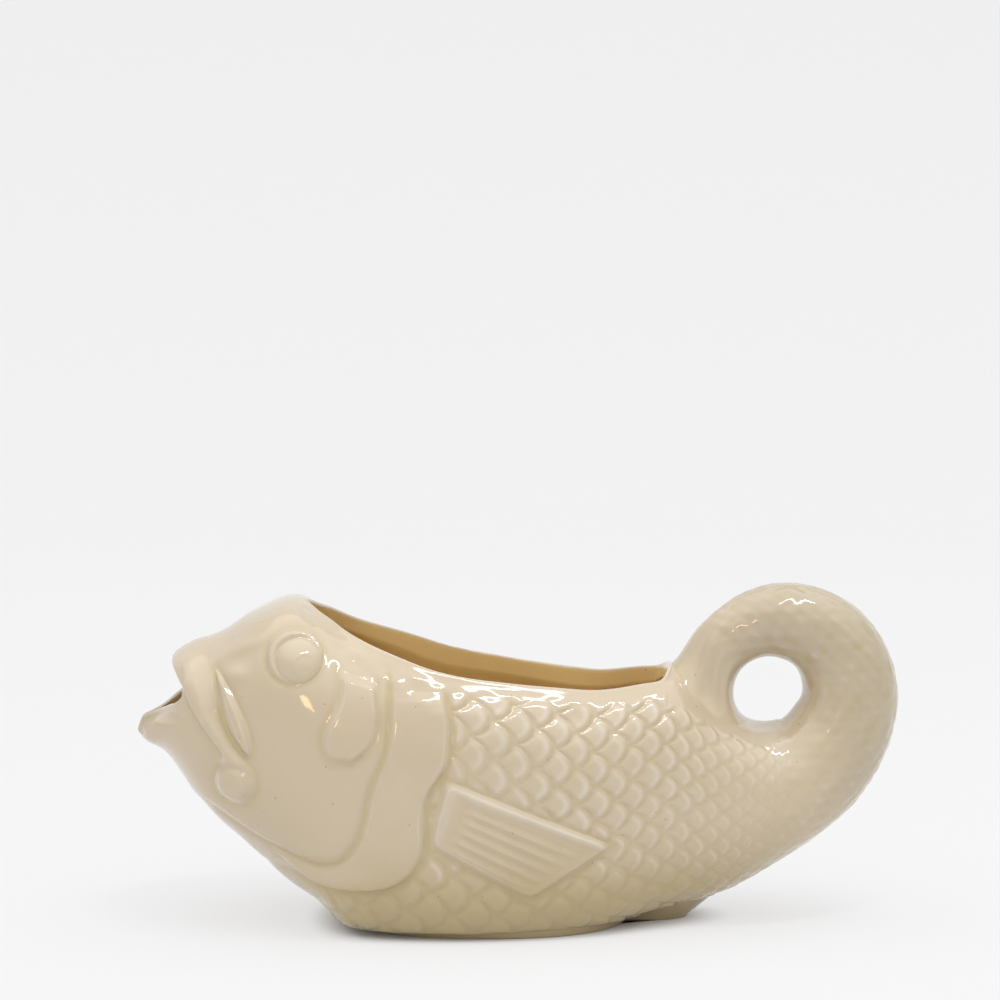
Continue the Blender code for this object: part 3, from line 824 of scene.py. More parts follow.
ARC_STATIONS = np.linspace(0, TIP, 600)
ARC_TABLE = girth_arcs(ARC_STATIONS)[1]


def belly_arc(along, angles):
    """Arc of the section from its belly line (positive on the left), and the whole half girth."""
    station = np.clip(along, 0, TIP) / TIP * (len(ARC_STATIONS) - 1)
    turned = np.mod(angles + 180, 360) - 180
    arc = look_up(ARC_TABLE, station, np.abs(turned) / 180 * (GIRTH_STEPS - 1))
    return arc * np.sign(turned + 1e-9), np.interp(along, ARC_STATIONS, ARC_TABLE[:, 0])


def scale_row_count():
    """Function for the number of scale rows from the mouth: the integral of count / (pitch x girth)."""
    rate = SCALES_ROUND / (SCALE_PITCH * 2 * ARC_TABLE[:, 0])
    rows = np.concatenate([[0.0], np.cumsum((rate[1:] + rate[:-1]) / 2 * np.diff(ARC_STATIONS))])
    return lambda position: np.interp(position, ARC_STATIONS, rows)


SCALE_ROWS = scale_row_count()


def scale_tiles(rows, tiles):
    """Height (0 to 1) of overlapping scales with round free edges, and the depth of glaze on them.

    A scale of row r ends at r + reach sqrt(1 - (u / spread)^2), u being the distance from its middle in
    tiles, and every second row is half a tile out of step. The foremost row that reaches a point is on top.
    The scale rises towards its free edge, which is rounded, and starts out of the groove in front of it.
    """
    stacked = (-1, *([1] * rows.ndim))
    layers = np.floor(rows)[None] + SCALE_LAYERS.reshape(stacked)
    offset = (tiles[None] + 0.5 * np.mod(layers, 2) + 0.5) % 1 - 0.5
    edges = layers + SCALE_REACH * np.sqrt(1 - (offset / SCALE_SPREAD) ** 2)
    covers = rows[None] <= edges
    top = np.argmax(covers, axis=0)[None]
    edge = np.take_along_axis(edges, top, 0)[0]
    across = np.take_along_axis(offset, top, 0)[0]
    layer = np.take_along_axis(layers, top, 0)[0]
    ahead = np.where(np.arange(len(SCALE_LAYERS)).reshape(stacked) < top, edges, -1e9).max(axis=0)
    slope = np.sqrt(1 + (SCALE_STEEPNESS * across) ** 2)
    to_edge = (edge - rows) / slope
    from_front = (rows - ahead) / slope
    lift = np.clip((rows - layer + SCALE_START) / (SCALE_REACH + SCALE_START), 0, 1)
    dome = 1 - SCALE_DOME * (2 * across) ** 2
    height = up_from(SCALE_FRONT, lift) * dome
    height = height * quarter_round(to_edge / SCALE_EDGE) * ease(from_front / SCALE_EDGE + SCALE_STEP)
    groove = 1 - ease(np.minimum(to_edge, from_front) / SCALE_GROOVE)
    crest = hump(to_edge, SCALE_CREST, SCALE_CREST_WIDTH) * dome
    return height, SCALE_GROOVE_GLAZE * groove - SCALE_CREST_GLAZE * crest + SCALE_GLAZE


def curve_distance(points, curve):
    """Distance of side-view points from a curve, positive behind it and negative ahead of it."""
    best = np.full(points.shape[:-1], 1e9)
    side = np.ones(points.shape[:-1])
    for start, span in zip(curve[:-1], np.diff(curve, axis=0)):
        offset = points - start
        share = np.clip(offset @ span / max(span @ span, 1e-18), 0, 1)
        gap = np.linalg.norm(offset - share[..., None] * span, axis=-1)
        turn = span[1] * offset[..., 0] - span[0] * offset[..., 1]
        nearer = gap < best
        best = np.where(nearer, gap, best)
        side = np.where(nearer, np.where(turn > 0, -1.0, 1.0), side)
    return best * side


def gill_lines():
    """The two long curves of the head: the gill's front and rear edges, run on to the rim and the chin."""
    front = smooth_path(GILL_FRONT + CHIN_LINE[1:], 70)
    rear = smooth_path(GILL_REAR + THROAT_LINE[1:], 70)
    return np.concatenate([[GILL_FRONT_TOP], front]), np.concatenate([[GILL_REAR_TOP], rear])


def fin_outline(steps):
    """Closed outline of the fin in the side view."""
    place = np.linspace(0, len(FIN_CORNERS), steps)
    around = np.concatenate([FIN_CORNERS, FIN_CORNERS[:1]])
    return np.stack([np.interp(place, np.arange(len(around)), column) for column in around.T], axis=-1)


def sprig_outlines():
    """Side-view outlines of the raised parts on a flank, round which the glaze gathers."""
    cheek = np.concatenate([smooth_path(CHEEK_FRONT, 24), smooth_path(CHEEK_REAR, 24)[::-1]])
    fold = np.concatenate([smooth_path(LIP_FOLD_FRONT, 16), smooth_path(LIP_FOLD_REAR, 16)[::-1]])
    lip = smooth_path(LIP_REAR, 40)[12:23]
    lip = skin(lip[:, 0], lip[:, 1])[:, [0, 2]]
    turn = np.linspace(0, 2 * math.pi, 40)
    club = np.asarray(CLUB_CENTRE) + CLUB_RADIUS * np.stack([np.cos(turn), np.sin(turn)], axis=-1)
    club = club[(turn < NECK_GAP[0]) | (turn > NECK_GAP[1])]
    club = np.roll(club, -np.argmax(np.linalg.norm(np.diff(club, axis=0), axis=-1)) - 1, axis=0)
    eye = np.asarray(EYE_CENTRE) + np.stack(
        [EYE_HALF_LENGTH * np.cos(turn), EYE_HALF_HEIGHT * np.sin(turn)], axis=-1)
    return cheek, fold, lip, club, eye, fin_outline(60)


def bump(points, centre, half_length, half_height, lean):
    """Soft swelling in the side view: exp(-(u^2 + v^2)) about a centre, in turned, scaled coordinates."""
    offset = points - np.asarray(centre)
    cosine = math.cos(math.radians(lean))
    sine = math.sin(math.radians(lean))
    u = (offset[..., 0] * cosine + offset[..., 1] * sine) / half_length
    v = (offset[..., 1] * cosine - offset[..., 0] * sine) / half_height
    return np.exp(-(u * u + v * v))


def unevenness(points, length):
    """Hand-made unevenness from -1 to 1: the mean of sine waves of one length in scattered directions."""
    waves = np.random.default_rng(7)
    directions = unit(waves.normal(size=(WAVE_COUNT, 3))) * (2 * math.pi / length)
    phases = waves.uniform(0, 2 * math.pi, WAVE_COUNT)
    return np.sin(points @ directions.T + phases).mean(axis=-1) * WAVE_GAIN


def top_margin(along, shoulder):
    """Arc below the back line that the opening takes, and the arc down to the lowest smooth place."""
    rim = np.interp(along, RIM_STATIONS, RIM_ARCS, left=0.0, right=0.0)
    places = (KNOTS[BODY.index(DECK)], KNOTS[BODY.index(HAUNCH)], ROOT, KNOTS[len(BODY) + 3], TIP)
    saddle = np.interp(along, places, SADDLE_ARCS)
    return rim, np.where(along < places[0], rim + shoulder, saddle)


def inside_fin(points):
    """Share by which side-view points lie inside the fin's outline: 1 inside, fading to 0 over its edge."""
    inward = np.full(points.shape[:-1], 1e9)
    for corner, following in zip(FIN_CORNERS, np.roll(FIN_CORNERS, -1, axis=0)):
        span = following - corner
        offset = points - corner
        gap = (span[1] * offset[..., 0] - span[0] * offset[..., 1]) / np.linalg.norm(span)
        inward = np.minimum(inward, gap)
    return ramp(inward, *FIN_MASK)


def scale_field(along, angles, shoulder, outside):
    """Height and glaze of the scales, wandering a little from their regular places, where they show."""
    points = skin(along, angles)
    arcs, half_girth = belly_arc(along, angles)
    rows = SCALE_ROWS(along) + ROW_WANDER * unevenness(points, ROW_WAVE)
    tiles = arcs / half_girth * (SCALES_ROUND / 2) + TILE_WANDER * unevenness(points[..., ::-1], TILE_WAVE)
    height, depth = scale_tiles(rows, tiles)
    field = shoulder * outside * (SCALE_STRENGTH + STRENGTH_WANDER * unevenness(points, STRENGTH_WAVE))
    field = field * ramp(points[..., 0], *SCALE_HEAD) * ramp(points[..., 2], *SCALE_BASE)
    field = field * ramp(along - ROOT, *SCALE_TAIL)
    size = np.clip(half_girth / SCALE_FULL_GIRTH, SCALE_LEAST_SIZE, 1.0)
    return field * size * (height - SCALE_SINK), field * depth


def hole_trim(along, below_top):
    """Height that rounds the finger hole: a cut in the saddle ahead of the tail's root, fills behind it."""
    past = along - ROOT
    height = HOLE_TIP_FILL * ramp(past, *HOLE_TIP)
    for trim in HOLE_TRIMS:
        height = height + trim.height * hump(past, trim.place, trim.length)
    return height * hump(below_top, 0, HOLE_TRIM_WIDTH)


def rim_relief(points, rim, below_top):
    """Height of the rim's bead, of the lumps under it, and of its swells at the middle and rear end."""
    x = points[..., 0]
    under_rim = below_top - rim
    swell = RIM_SWELL.height * hump(x, RIM_SWELL.place, RIM_SWELL.length) * ramp(under_rim, *RIM_SWELL_FADE)
    bead = BEAD_HEIGHT * hump(under_rim, 0, BEAD_WIDTH)
    band = ramp(under_rim, *LUMPS_TOP) * ramp(under_rim, *LUMPS_LOW) * ramp(x, *LUMPS_REAR)
    lumps = LUMP_HEIGHT * band * unevenness(points, LUMP_WAVE)
    lift = RIM_LIFT.height * hump(x, RIM_LIFT.place, RIM_LIFT.length) * hump(below_top, 0, RIM_LIFT_WIDTH)
    return (rim > 0) * (swell + bead + lumps) + lift


def skin_relief(along, angles, sizes):
    """Height of the moulded relief over the skin, and the depth of glaze (-1 to 1): gathered in the relief,
    with painted shade low on the body and a painted sheen on the saddle.
    """
    along, angles = np.broadcast_arrays(np.asarray(along, float), np.asarray(angles, float))
    points = skin(along, angles)
    seen = points[..., [0, 2]]
    arcs, half_girth = belly_arc(along, angles)
    rim, margin = top_margin(along, sizes.shoulder)
    below_top = half_girth - np.abs(arcs)
    past_head, past_gill = (curve_distance(seen, line) for line in gill_lines())
    shoulder = ease((below_top - margin) / SHOULDER_FADE)
    scaled = ease(past_gill / GILL_FADE) * (1 - inside_fin(seen))
    height, glaze = scale_field(along, angles, shoulder, scaled)
    head = ease(-past_head / HEAD_FADE) * ramp(below_top - rim, *HEAD_TOP)
    relief = sizes.scale_height * height + sizes.head_height * head
    for gap in (past_head, past_gill):
        band = hump(gap, 0, GROOVE_WIDTH) * shoulder
        relief = relief - sizes.groove * band
        glaze = glaze + GROOVE_GLAZE * band
    for outline in sprig_outlines():
        band = hump(curve_distance(seen, outline), 0, GROOVE_WIDTH)
        relief = relief - OUTLINE_GROOVE * sizes.groove * band
        glaze = glaze + OUTLINE_GLAZE * band
    for swelling in SWELLINGS:
        relief = relief + swelling.height * bump(seen, *swelling[1:])
    on_tail = ramp(along - ROOT, *TAIL_START)
    hammered = on_tail * unevenness(points, HAMMER_WAVE)
    uneven = up_from(HEAD_UNEVENNESS, ease(past_head / BEHIND_HEAD))
    relief = relief + UNEVEN_HEIGHT * uneven * unevenness(points, UNEVEN_WAVE)
    relief = relief + HAMMER_HEIGHT * hammered * (1 - hump(below_top, 0, HAMMER_CLEARANCE))
    relief = relief + rim_relief(points, rim, below_top) + hole_trim(along, below_top)
    relief = relief * ease((along - notch(angles)) / MOUTH_FADE)
    # Painted shade: deeper glaze towards the bottom of the body
    glaze = glaze + LOW_SHADE_DEPTH * ramp(seen[..., 1], *LOW_SHADE_DEPTH_Z)
    glaze = glaze + TAIL_GLAZE * on_tail - HAMMER_GLAZE * hammered
    # Painted sheen: paler glaze over the saddle
    glaze = glaze - SADDLE_SHEEN * hump(along, ROOT, SADDLE_SHEEN_LENGTH) * ramp(below_top, *SADDLE_SHEEN_FADE)
    return relief, np.clip(glaze, -1, 1)


def grid_faces(rows, columns, start=0, wrap=False):
    """Corner numbers of the quads of a grid of points, optionally closed round its columns."""
    row = np.arange(rows - 1)[:, None] * columns
    column = np.arange(columns if wrap else columns - 1)[None]
    following = (column + 1) % columns
    below = row + columns
    corners = np.stack([row + column, row + following, below + following, below + column], -1)
    return corners.reshape(-1, 4) + start


def last_row(start, grid):
    """Number of the first point of a grid's last row, the grid being numbered from start."""
    return start + (len(grid) - 1) * grid.shape[1]


def zip_faces(fine, coarse, fine_start, coarse_start):
    """Triangles between two closed loops, joined where they have gone the same share of their lengths."""
    def shares(loop):
        steps = np.linalg.norm(np.roll(loop, -1, axis=0) - loop, axis=-1)
        return np.concatenate([[0.0], np.cumsum(steps)]) / steps.sum()

    fine_share = shares(fine)
    coarse_share = shares(coarse)
    middles = (coarse_share[1:] + coarse_share[:-1]) / 2
    nearest = np.searchsorted(middles, fine_share)
    nearest[0] = 0
    nearest[-1] = len(coarse)
    i = np.arange(len(fine))
    fans = np.stack([i, (i + 1) % len(fine), -1 - nearest[:-1] % len(coarse)], -1)
    c = np.arange(len(coarse))
    crossing = np.searchsorted(nearest, c + 1) % len(fine)
    gaps = np.stack([-1 - c, -1 - (c + 1) % len(coarse), crossing], -1)
    corners = np.concatenate([fans, gaps])
    return np.where(corners < 0, coarse_start - 1 - corners, corners + fine_start)


def rolled_edge(points, normals, outward, wall, bulge, slant):
    """Half-round edge of a wall: from the outer skin to the inner one, round the wall's middle.

    At turn a the point is middle + normal (wall / 2) cos a + outward (bulge sin a - slant (1 - cos a) / 2).
    """
    turn = np.linspace(0, math.pi, ROLL_STEPS + 1)[:, None, None]
    middle = points - normals * wall / 2
    ahead = bulge * np.sin(turn) - slant * (1 - np.cos(turn)) / 2
    return middle + normals * wall / 2 * np.cos(turn) + outward * ahead


def cut_edge(outer, inner, inwards, radius):
    """Square-cut edge: a rounded corner that turns from the outer skin to straight down, then a plain face.

    The corner is the curve P0 (1 - s)^2 + 2 P1 s (1 - s) + P2 s^2, with P1 one radius along the skin.
    """
    corner = outer + inwards * radius
    below = corner + unit(inner - outer) * radius
    share = np.linspace(0, 1, CORNER_STEPS + 1)[:, None, None]
    bend = outer * (1 - share) ** 2 + 2 * corner * share * (1 - share) + below * share ** 2
    face = below + (inner - below) * np.linspace(0, 1, FACE_STEPS + 1)[1:, None, None]
    return np.concatenate([bend, face])


def add_object(name, data):
    """Object at the origin that shows the data, linked to the scene."""
    item = bpy.data.objects.new(name, data)
    bpy.context.scene.collection.objects.link(item)
    return item


class Mesh:
    """Collects blocks of points and faces, with the depth of glaze at each point (painted light and shade
    too), into one object.
    """

    def __init__(self):
        self.points = []
        self.faces = []
        self.glaze = []
        self.count = 0

    def add_points(self, points, glaze=0.0):
        """Add points of any array shape and return the number of the first."""
        start = self.count
        flat = np.asarray(points, float).reshape(-1, 3)
        self.points.append(flat)
        self.glaze.append(np.broadcast_to(np.asarray(glaze, float), np.shape(points)[:-1]).ravel())
        self.count += len(flat)
        return start

    def add_grid(self, points, glaze=0.0, wrap=False):
        """Add a grid of points with its quads and return the number of the first point."""
        start = self.add_points(points, glaze)
        self.faces.append(grid_faces(points.shape[0], points.shape[1], start, wrap))
        return start

    def add_fan(self, loop, start, apex, glaze=0.0):
        """Close a loop of points, numbered from start, with triangles to an apex."""
        centre = self.add_points(np.asarray(apex)[None], glaze)
        i = np.arange(len(loop))
        following = (i + 1) % len(loop)
        self.faces.append(np.stack([start + i, start + following, np.full(len(loop), centre)], -1))

    def build(self, name, material, slot, *nodes):
        """Make the object: merge doubles, turn faces outwards, shade smooth and bind it to its solids."""
        points = np.concatenate(self.points) + np.array([SHIFT, 0.0, 0.0])
        corners = np.concatenate([block.ravel() for block in self.faces])
        totals = np.concatenate([np.full(len(block), block.shape[1]) for block in self.faces])
        mesh = bpy.data.meshes.new(name)
        mesh.vertices.add(len(points))
        mesh.vertices.foreach_set("co", points.ravel())
        mesh.loops.add(len(corners))
        mesh.loops.foreach_set("vertex_index", corners.astype(np.int32))
        mesh.polygons.add(len(totals))
        mesh.polygons.foreach_set("loop_start", (np.cumsum(totals) - totals).astype(np.int32))
        mesh.update(calc_edges=True)
        mesh.attributes.new("glaze", "FLOAT", "POINT").data.foreach_set("value", np.concatenate(self.glaze))
        bm = bmesh.new()
        bm.from_mesh(mesh)
        bmesh.ops.remove_doubles(bm, verts=bm.verts, dist=MERGE_DISTANCE)
        bmesh.ops.recalc_face_normals(bm, faces=bm.faces)
        bm.to_mesh(mesh)
        bm.free()
        mesh.shade_smooth()
        item = add_object(name, mesh)
        mesh.materials.append(material)
        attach(item, BODY_NAME)
        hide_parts(*nodes)
        return item


JAW_TIP = skin(0.0, 180.0)[0]
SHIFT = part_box("body_shell")[0][0] - JAW_TIP


def notch(degrees):
    """Distance that the mouth's edge is cut back: deepest at the corners, none at the snout and jaw tip."""
    rise, _ = girth_shares(degrees, np.full_like(degrees, MOUTH.boxiness))
    above = 1 - (np.clip(rise - NOTCH_LEVEL, 0, None) / (1 - NOTCH_LEVEL)) ** NOTCH_ARCH
    below = np.clip(1 - (NOTCH_LEVEL - rise) / JAW_REACH, 0, 1)
    return NOTCH_DEPTH * np.where(rise > NOTCH_LEVEL, above, below)


def behind_notch(along, degrees):
    """Distances along the skin with the mouth's notch faded into the rows behind it."""
    return along + np.clip(1 - along / NOTCH_BLEND, 0, 1) * notch(degrees)


def opening_half_width(x, margin=0.0):
    """Half width of the leaf-shaped opening, (1 - b^2)^f ahead of its widest place, a taper behind it."""
    widest = OPENING_FRONT + OPENING_WIDEST
    before = np.clip((widest - x) / (OPENING_WIDEST + margin), 0, 1)
    behind = np.clip((x - widest) / (OPENING_REAR + margin - widest), 0, 1)
    arch = (1 - before ** 2) ** OPENING_FRONT_FULLNESS
    taper = 1 - OPENING_REAR_TAPER * (np.hypot(behind, OPENING_TAPER_ROUND) - OPENING_TAPER_ROUND)
    taper = taper * np.sqrt(1 - behind ** OPENING_REAR_BLUNTNESS)
    return (OPENING_HALF_WIDTH + margin) * arch * taper


def along_middle(x):
    """Distance along the skin at which its middle line passes x."""
    along = np.linspace(0, ROOT, 2000)
    return np.interp(x, section_at(along)[0][:, 0], along)


def opening_top(along, depth=0.0, margin=0.0):
    """Angle of the opening's left edge at each section, 0 outside it, at a depth below the outer skin.

    The opening is cut straight down, so the angle is where that skin has the opening's half width.
    """
    degrees = np.linspace(0, 110, 221)
    across = -below_skin(along[:, None], degrees, depth)[..., 1]
    x = section_at(along)[0][:, 0]
    inside = (x > OPENING_FRONT - margin) & (x < OPENING_REAR + margin)
    wanted = np.where(inside, opening_half_width(x, margin), 0.0)
    return np.array([np.interp(width, row, degrees) for width, row in zip(wanted, across)]) * inside


def rim_table():
    """Stations along the opening and the arc from the back line to its edge at each."""
    stations = along_middle(np.linspace(OPENING_FRONT, OPENING_REAR, 240))
    tops = opening_top(stations)
    arc, half_girth = belly_arc(stations, tops)
    return stations, half_girth - arc


RIM_STATIONS, RIM_ARCS = rim_table()


def opening_stations(step, end_rows, margin=0.0):
    """Stations along the opening, crowded towards both of its ends."""
    front = OPENING_FRONT - margin
    rear = OPENING_REAR + margin
    crowd = VESSEL_END_LENGTH * np.linspace(0, 1, end_rows + 1) ** 2
    count = round((rear - front - 2 * VESSEL_END_LENGTH) / step)
    between = np.linspace(front + VESSEL_END_LENGTH, rear - VESSEL_END_LENGTH, count + 1)
    return along_middle(np.concatenate([front + crowd[:-1], between, (rear - crowd[:-1])[::-1]]))


def opening_loop(grid, first, last):
    """Closed loop of a grid's rim: its first column from front to rear, then its last column back."""
    return np.concatenate([grid[first:last + 1, 0], grid[last - 1:first:-1, -1]])


def loop_run(loop):
    """Directions along a closed loop of points."""
    return unit(np.roll(loop, -1, axis=0) - np.roll(loop, 1, axis=0))


def opened_rows(head_start, head_rows, step, end_rows, margin=0.0):
    """Rows from the head to the opening's rear, and the numbers of those at the opening's two ends."""
    opened = opening_stations(step, end_rows, margin)
    head = np.linspace(head_start, opened[0], head_rows)[:-1]
    return np.concatenate([head, opened]), len(head), len(head) + len(opened) - 1


def opened_tops(along, first, last, depth=0.0, margin=0.0):
    """Angles of the opening's left edge, with the rows at its two ends closed."""
    tops = opening_top(along, depth, margin)
    tops[[first, last]] = 0
    return tops


def rim_edge(outer, normals, along, first, last, wall):
    """Loops of the rim's cut edge, from the outer skin straight down to the inner one."""
    tops = opened_tops(along, first, last, wall)
    low_skin = below_skin(along[:, None], np.stack([tops, -tops], axis=-1), wall)
    rim = opening_loop(outer, first, last)
    inwards = unit(np.cross(loop_run(rim), opening_loop(normals, first, last)))
    inwards *= np.sign(np.sum(inwards * (rim.mean(axis=0) - rim), axis=-1))[:, None]
    return cut_edge(rim, opening_loop(low_skin, first, last), inwards, RIM_ROUND)


def mouth_edge(along, angles, normals, relief, wall):
    """Loops of the mouth's rolled edge, from the outer skin to the inner one, thinner at the jaw's tip."""
    mouth = skin(along, angles) + normals * relief[:, None]
    forward = unit(skin(along - NUDGE, angles) - skin(along + NUDGE, angles))
    forward = square_to(forward, loop_run(mouth))
    jaw = on_jaw(angles)[:, None]
    at_tip = ramp(np.abs(np.mod(angles, 360) - 180), *JAW_TIP_TURN)[:, None]
    thin_wall = wall * (1 - MOUTH_THINNING * at_tip) + relief[:, None]
    inward = kept_apart(mouth, normals, wall)
    edge = rolled_edge(mouth, inward, forward, thin_wall, MOUTH_ROUND * jaw, LIP_SLANT * (1 - jaw))
    half = ROLL_STEPS // 2 + 1
    edge[half:] = channel_filled(edge[half:])
    return jaw_turned(edge, angles)


def bowl(wall):
    """Grid of the inner skin, rounded off at its rear, and its rows at the opening's ends."""
    along, first, last = opened_rows(INNER_START, INNER_HEAD_ROWS, INNER_STEP, INNER_END_ROWS, INNER_MARGIN)
    haunch = KNOTS[BODY.index(HAUNCH)]
    along = np.concatenate([along, np.linspace(along[-1], haunch, INNER_REAR_ROWS)[1:]])
    tops = opened_tops(along, first, last, wall, INNER_MARGIN)
    angles = girth_columns(along, tops, INNER_HALF_COLUMNS)
    placed = behind_notch(along[:, None], angles)
    outer = skin(placed, angles)
    inward = kept_apart(outer, skin_normal(placed, angles), wall)
    inner = jaw_turned(channel_filled(outer - inward * wall), angles)
    turn = np.radians(np.linspace(*BOWL_END_TURNS))
    closing = below_skin((haunch + BOWL_END * np.sin(turn))[:, None], angles[-1], wall)
    heart = closing.mean(axis=1, keepdims=True)
    closing = heart + (closing - heart) * np.cos(turn)[:, None, None]
    return np.concatenate([inner, closing]), first, last


def vessel(sizes, material):
    """Hollow body: outer skin with its relief, square-cut rim, rolled mouth edge and smooth inner skin."""
    along, first, last = opened_rows(0, VESSEL_HEAD_ROWS, VESSEL_BACK_STEP, VESSEL_END_ROWS)
    rear_count = round((ROOT - along[-1]) / VESSEL_BACK_STEP)
    rear = np.linspace(along[-1], ROOT, rear_count + 1)[1:]
    seam = np.arange(1, SEAM_ROWS + 1)
    along = np.concatenate([along, rear, ROOT + VESSEL_BACK_STEP * seam])
    angles = girth_columns(along, opened_tops(along, first, last), VESSEL_HALF_COLUMNS)
    placed = behind_notch(along[:, None], angles)
    relief, glaze = skin_relief(placed, angles, sizes)
    relief[-SEAM_ROWS:] -= SEAM_SINK * seam[:, None]
    normals = skin_normal(np.maximum(placed, 2 * NUDGE), angles)
    outer = lifted(placed, angles, relief)
    mesh = Mesh()
    start = mesh.add_grid(outer, glaze)
    mesh.add_fan(outer[-1][:-1], last_row(start, outer), skin(ROOT, np.array([0.0, 180.0])).mean(axis=0))

    edge = rim_edge(outer, normals, along, first, last, sizes.wall)
    edge_glaze = np.interp(np.arange(len(edge)), EDGE_GLAZE_ROWS, EDGE_GLAZE)
    edge_start = mesh.add_grid(edge, edge_glaze[:, None], wrap=True)
    mouth_row = (grid[0, :-1] for grid in (placed, angles, normals, relief))
    spout = mouth_edge(*mouth_row, sizes.wall)
    spout_start = mesh.add_grid(spout, MOUTH_GLAZE, wrap=True)

    inner, inner_first, inner_last = bowl(sizes.wall)
    # The inner skin carries the painted warm bounce light, kept off the mouth
    inner_start = mesh.add_grid(inner, INNER_BOUNCE_GLAZE * ramp(inner[..., 0], *INNER_BOUNCE_GLAZE_X))
    mesh.add_fan(inner[-1][:-1], last_row(inner_start, inner), inner[-1].mean(axis=0), INNER_BOUNCE_GLAZE)
    inner_rim = opening_loop(inner, inner_first, inner_last)
    inner_rim_start = mesh.add_points(inner_rim, INNER_BOUNCE_GLAZE)
    mesh.faces.append(zip_faces(edge[-1], inner_rim, last_row(edge_start, edge), inner_rim_start))
    mesh.faces.append(zip_faces(spout[-1], inner[0][:-1], last_row(spout_start, spout), inner_start))
    return mesh.build("vessel", material, "cream_glaze", "body_shell")


def landing_oval(around, sizes):
    """Oval on the deck where the tail lands: points just under it, deeper points, normals and ways out."""
    middle_x = (LANDING_FRONT + LANDING_REAR) / 2
    x = middle_x + (LANDING_REAR - LANDING_FRONT) / 2 * np.cos(around)
    deck = along_middle(x)
    _, _, _, half_width, boxiness = section_at(deck)
    spread = LANDING_HALF_WIDTH * np.sin(around) / half_width
    rise = other_share(spread, roundness(np.ones_like(x), boxiness))
    angles = np.degrees(np.arctan2(spread, rise))
    relief = skin_relief(deck, angles, sizes)[0]
    landing = lifted(deck, angles, relief - SPRIG_SINK)
    under = lifted(deck, angles, relief - SPRIG_ROOT)
    normals = skin_normal(deck, angles)
    outward = square_to(landing - skin(along_middle(np.array(middle_x)), 0.0), normals)
    return landing, under, normals, outward


def cubic(start, leaving, end, arriving, share):
    """Curve P0 (2s^3 - 3s^2 + 1) + T0 (s^3 - 2s^2 + s) + P1 (3s^2 - 2s^3) + T1 (s^3 - s^2)."""
    square = share ** 2
    cube = share ** 3
    leave = start * (2 * cube - 3 * square + 1) + leaving * (cube - 2 * square + share)
    return leave + end * (3 * square - 2 * cube) + arriving * (cube - square)


def curled_tail(sizes, material):
    """Tail from its seam with the body round the finger hole, ending in a flare that runs out on the deck.

    Each line along the tail leaves the tube at the landing angle and follows a cubic to the landing oval.
    """
    leave = np.interp(LANDING_ANGLE, [curl.angle for curl in TAIL], KNOTS[len(BODY):])
    seam = np.arange(SEAM_ROWS, 0, -1)
    rows = round((leave - ROOT) / TAIL_STEP) + 1
    along = np.concatenate([ROOT - TAIL_STEP * seam, np.linspace(ROOT, leave, rows)])
    angles = girth_columns(along, np.zeros_like(along), TAIL_COLUMNS // 2)
    relief, glaze = skin_relief(along[:, None], angles, sizes)
    relief[:SEAM_ROWS] -= SEAM_SINK * seam[:, None]
    tube = lifted(along[:, None], angles, relief)

    around = np.radians(angles[-1])
    landing, under, deck_normals, outward = landing_oval(around, sizes)
    reach = np.linalg.norm(landing - tube[-1], axis=-1, keepdims=True)
    hole_side = ((1 + np.cos(around)) / 2)[:, None]
    upright = ramp(hole_side, *FLARE_FRONT)
    leaving = unit(tube[-1] - tube[-2]) * reach * FLARE_LEAVING
    level = outward * (FLARE_OUTWARD + FLARE_HOLE_SIDE * np.sqrt(hole_side)) * (1 - FLARE_UPRIGHT * upright)
    arriving = (level - deck_normals * FLARE_DOWN * upright) * reach
    share = np.linspace(0, 1, FLARE_ROWS + 1)[1:, None, None]
    flare = cubic(tube[-1], leaving, landing, arriving, share)
    valley = VALLEY_GLAZE * ramp(share[..., 0], *VALLEY_START) * (1 - hole_side[:, 0])

    surface = np.concatenate([tube, flare, under[None]])
    mesh = Mesh()
    start = mesh.add_grid(surface, np.concatenate([glaze, valley, valley[-1:]]))
    for loop, loop_start in ((surface[0][:-1], start), (surface[-1][:-1], last_row(start, surface))):
        mesh.add_fan(loop, loop_start, loop.mean(axis=0))
    return mesh.build("curled_tail", material, "cream_glaze", "tail_handle")


def foot_outline(x, margin, heel_reach):
    """Half width of the foot at x: an oval and a blunt heel, merged by adding powers of them."""
    half_length = FOOT_LENGTH / 2
    past_middle = x - FOOT_FRONT - half_length
    share = past_middle / (half_length + margin)
    oval = other_share(np.clip(share, -1, 1), FOOT_ROUNDNESS) * (FOOT_HALF_WIDTH + margin)
    heel_share = np.clip(past_middle / (half_length + heel_reach), 0, 1)
    heel = np.sqrt(1 - heel_share ** HEEL_BLUNTNESS) * (past_middle > 0) * (heel_reach > 0)
    heel = heel * (HEEL_HALF_WIDTH + margin)
    return (oval ** HEEL_MERGE + heel ** HEEL_MERGE) ** (1 / HEEL_MERGE)


def foot_loop(z, margin, heel_reach):
    """Closed plan outline of the foot at a height, offset sideways by the margin."""
    front = FOOT_FRONT - margin
    rear = FOOT_FRONT + FOOT_LENGTH + max(margin, heel_reach)
    turn = np.linspace(0, 2 * math.pi, FOOT_POINTS, endpoint=False)
    x = (front + rear) / 2 - (rear - front) / 2 * np.cos(turn)
    y = foot_outline(x, margin, heel_reach) * np.where(turn <= math.pi, 1, -1)
    return np.stack([x, y, np.full_like(x, z)], axis=-1)


def belly_height(x, y):
    """Height of the body's underside over a point of the plan, from the section's outline and its base."""
    middle, upward, half_height, half_width, boxiness = section_at(along_middle(x))
    rise = other_share(np.clip(y / half_width, -1, 1), boxiness)
    return on_base(middle[..., 1] - upward[..., 1] * half_height * rise)


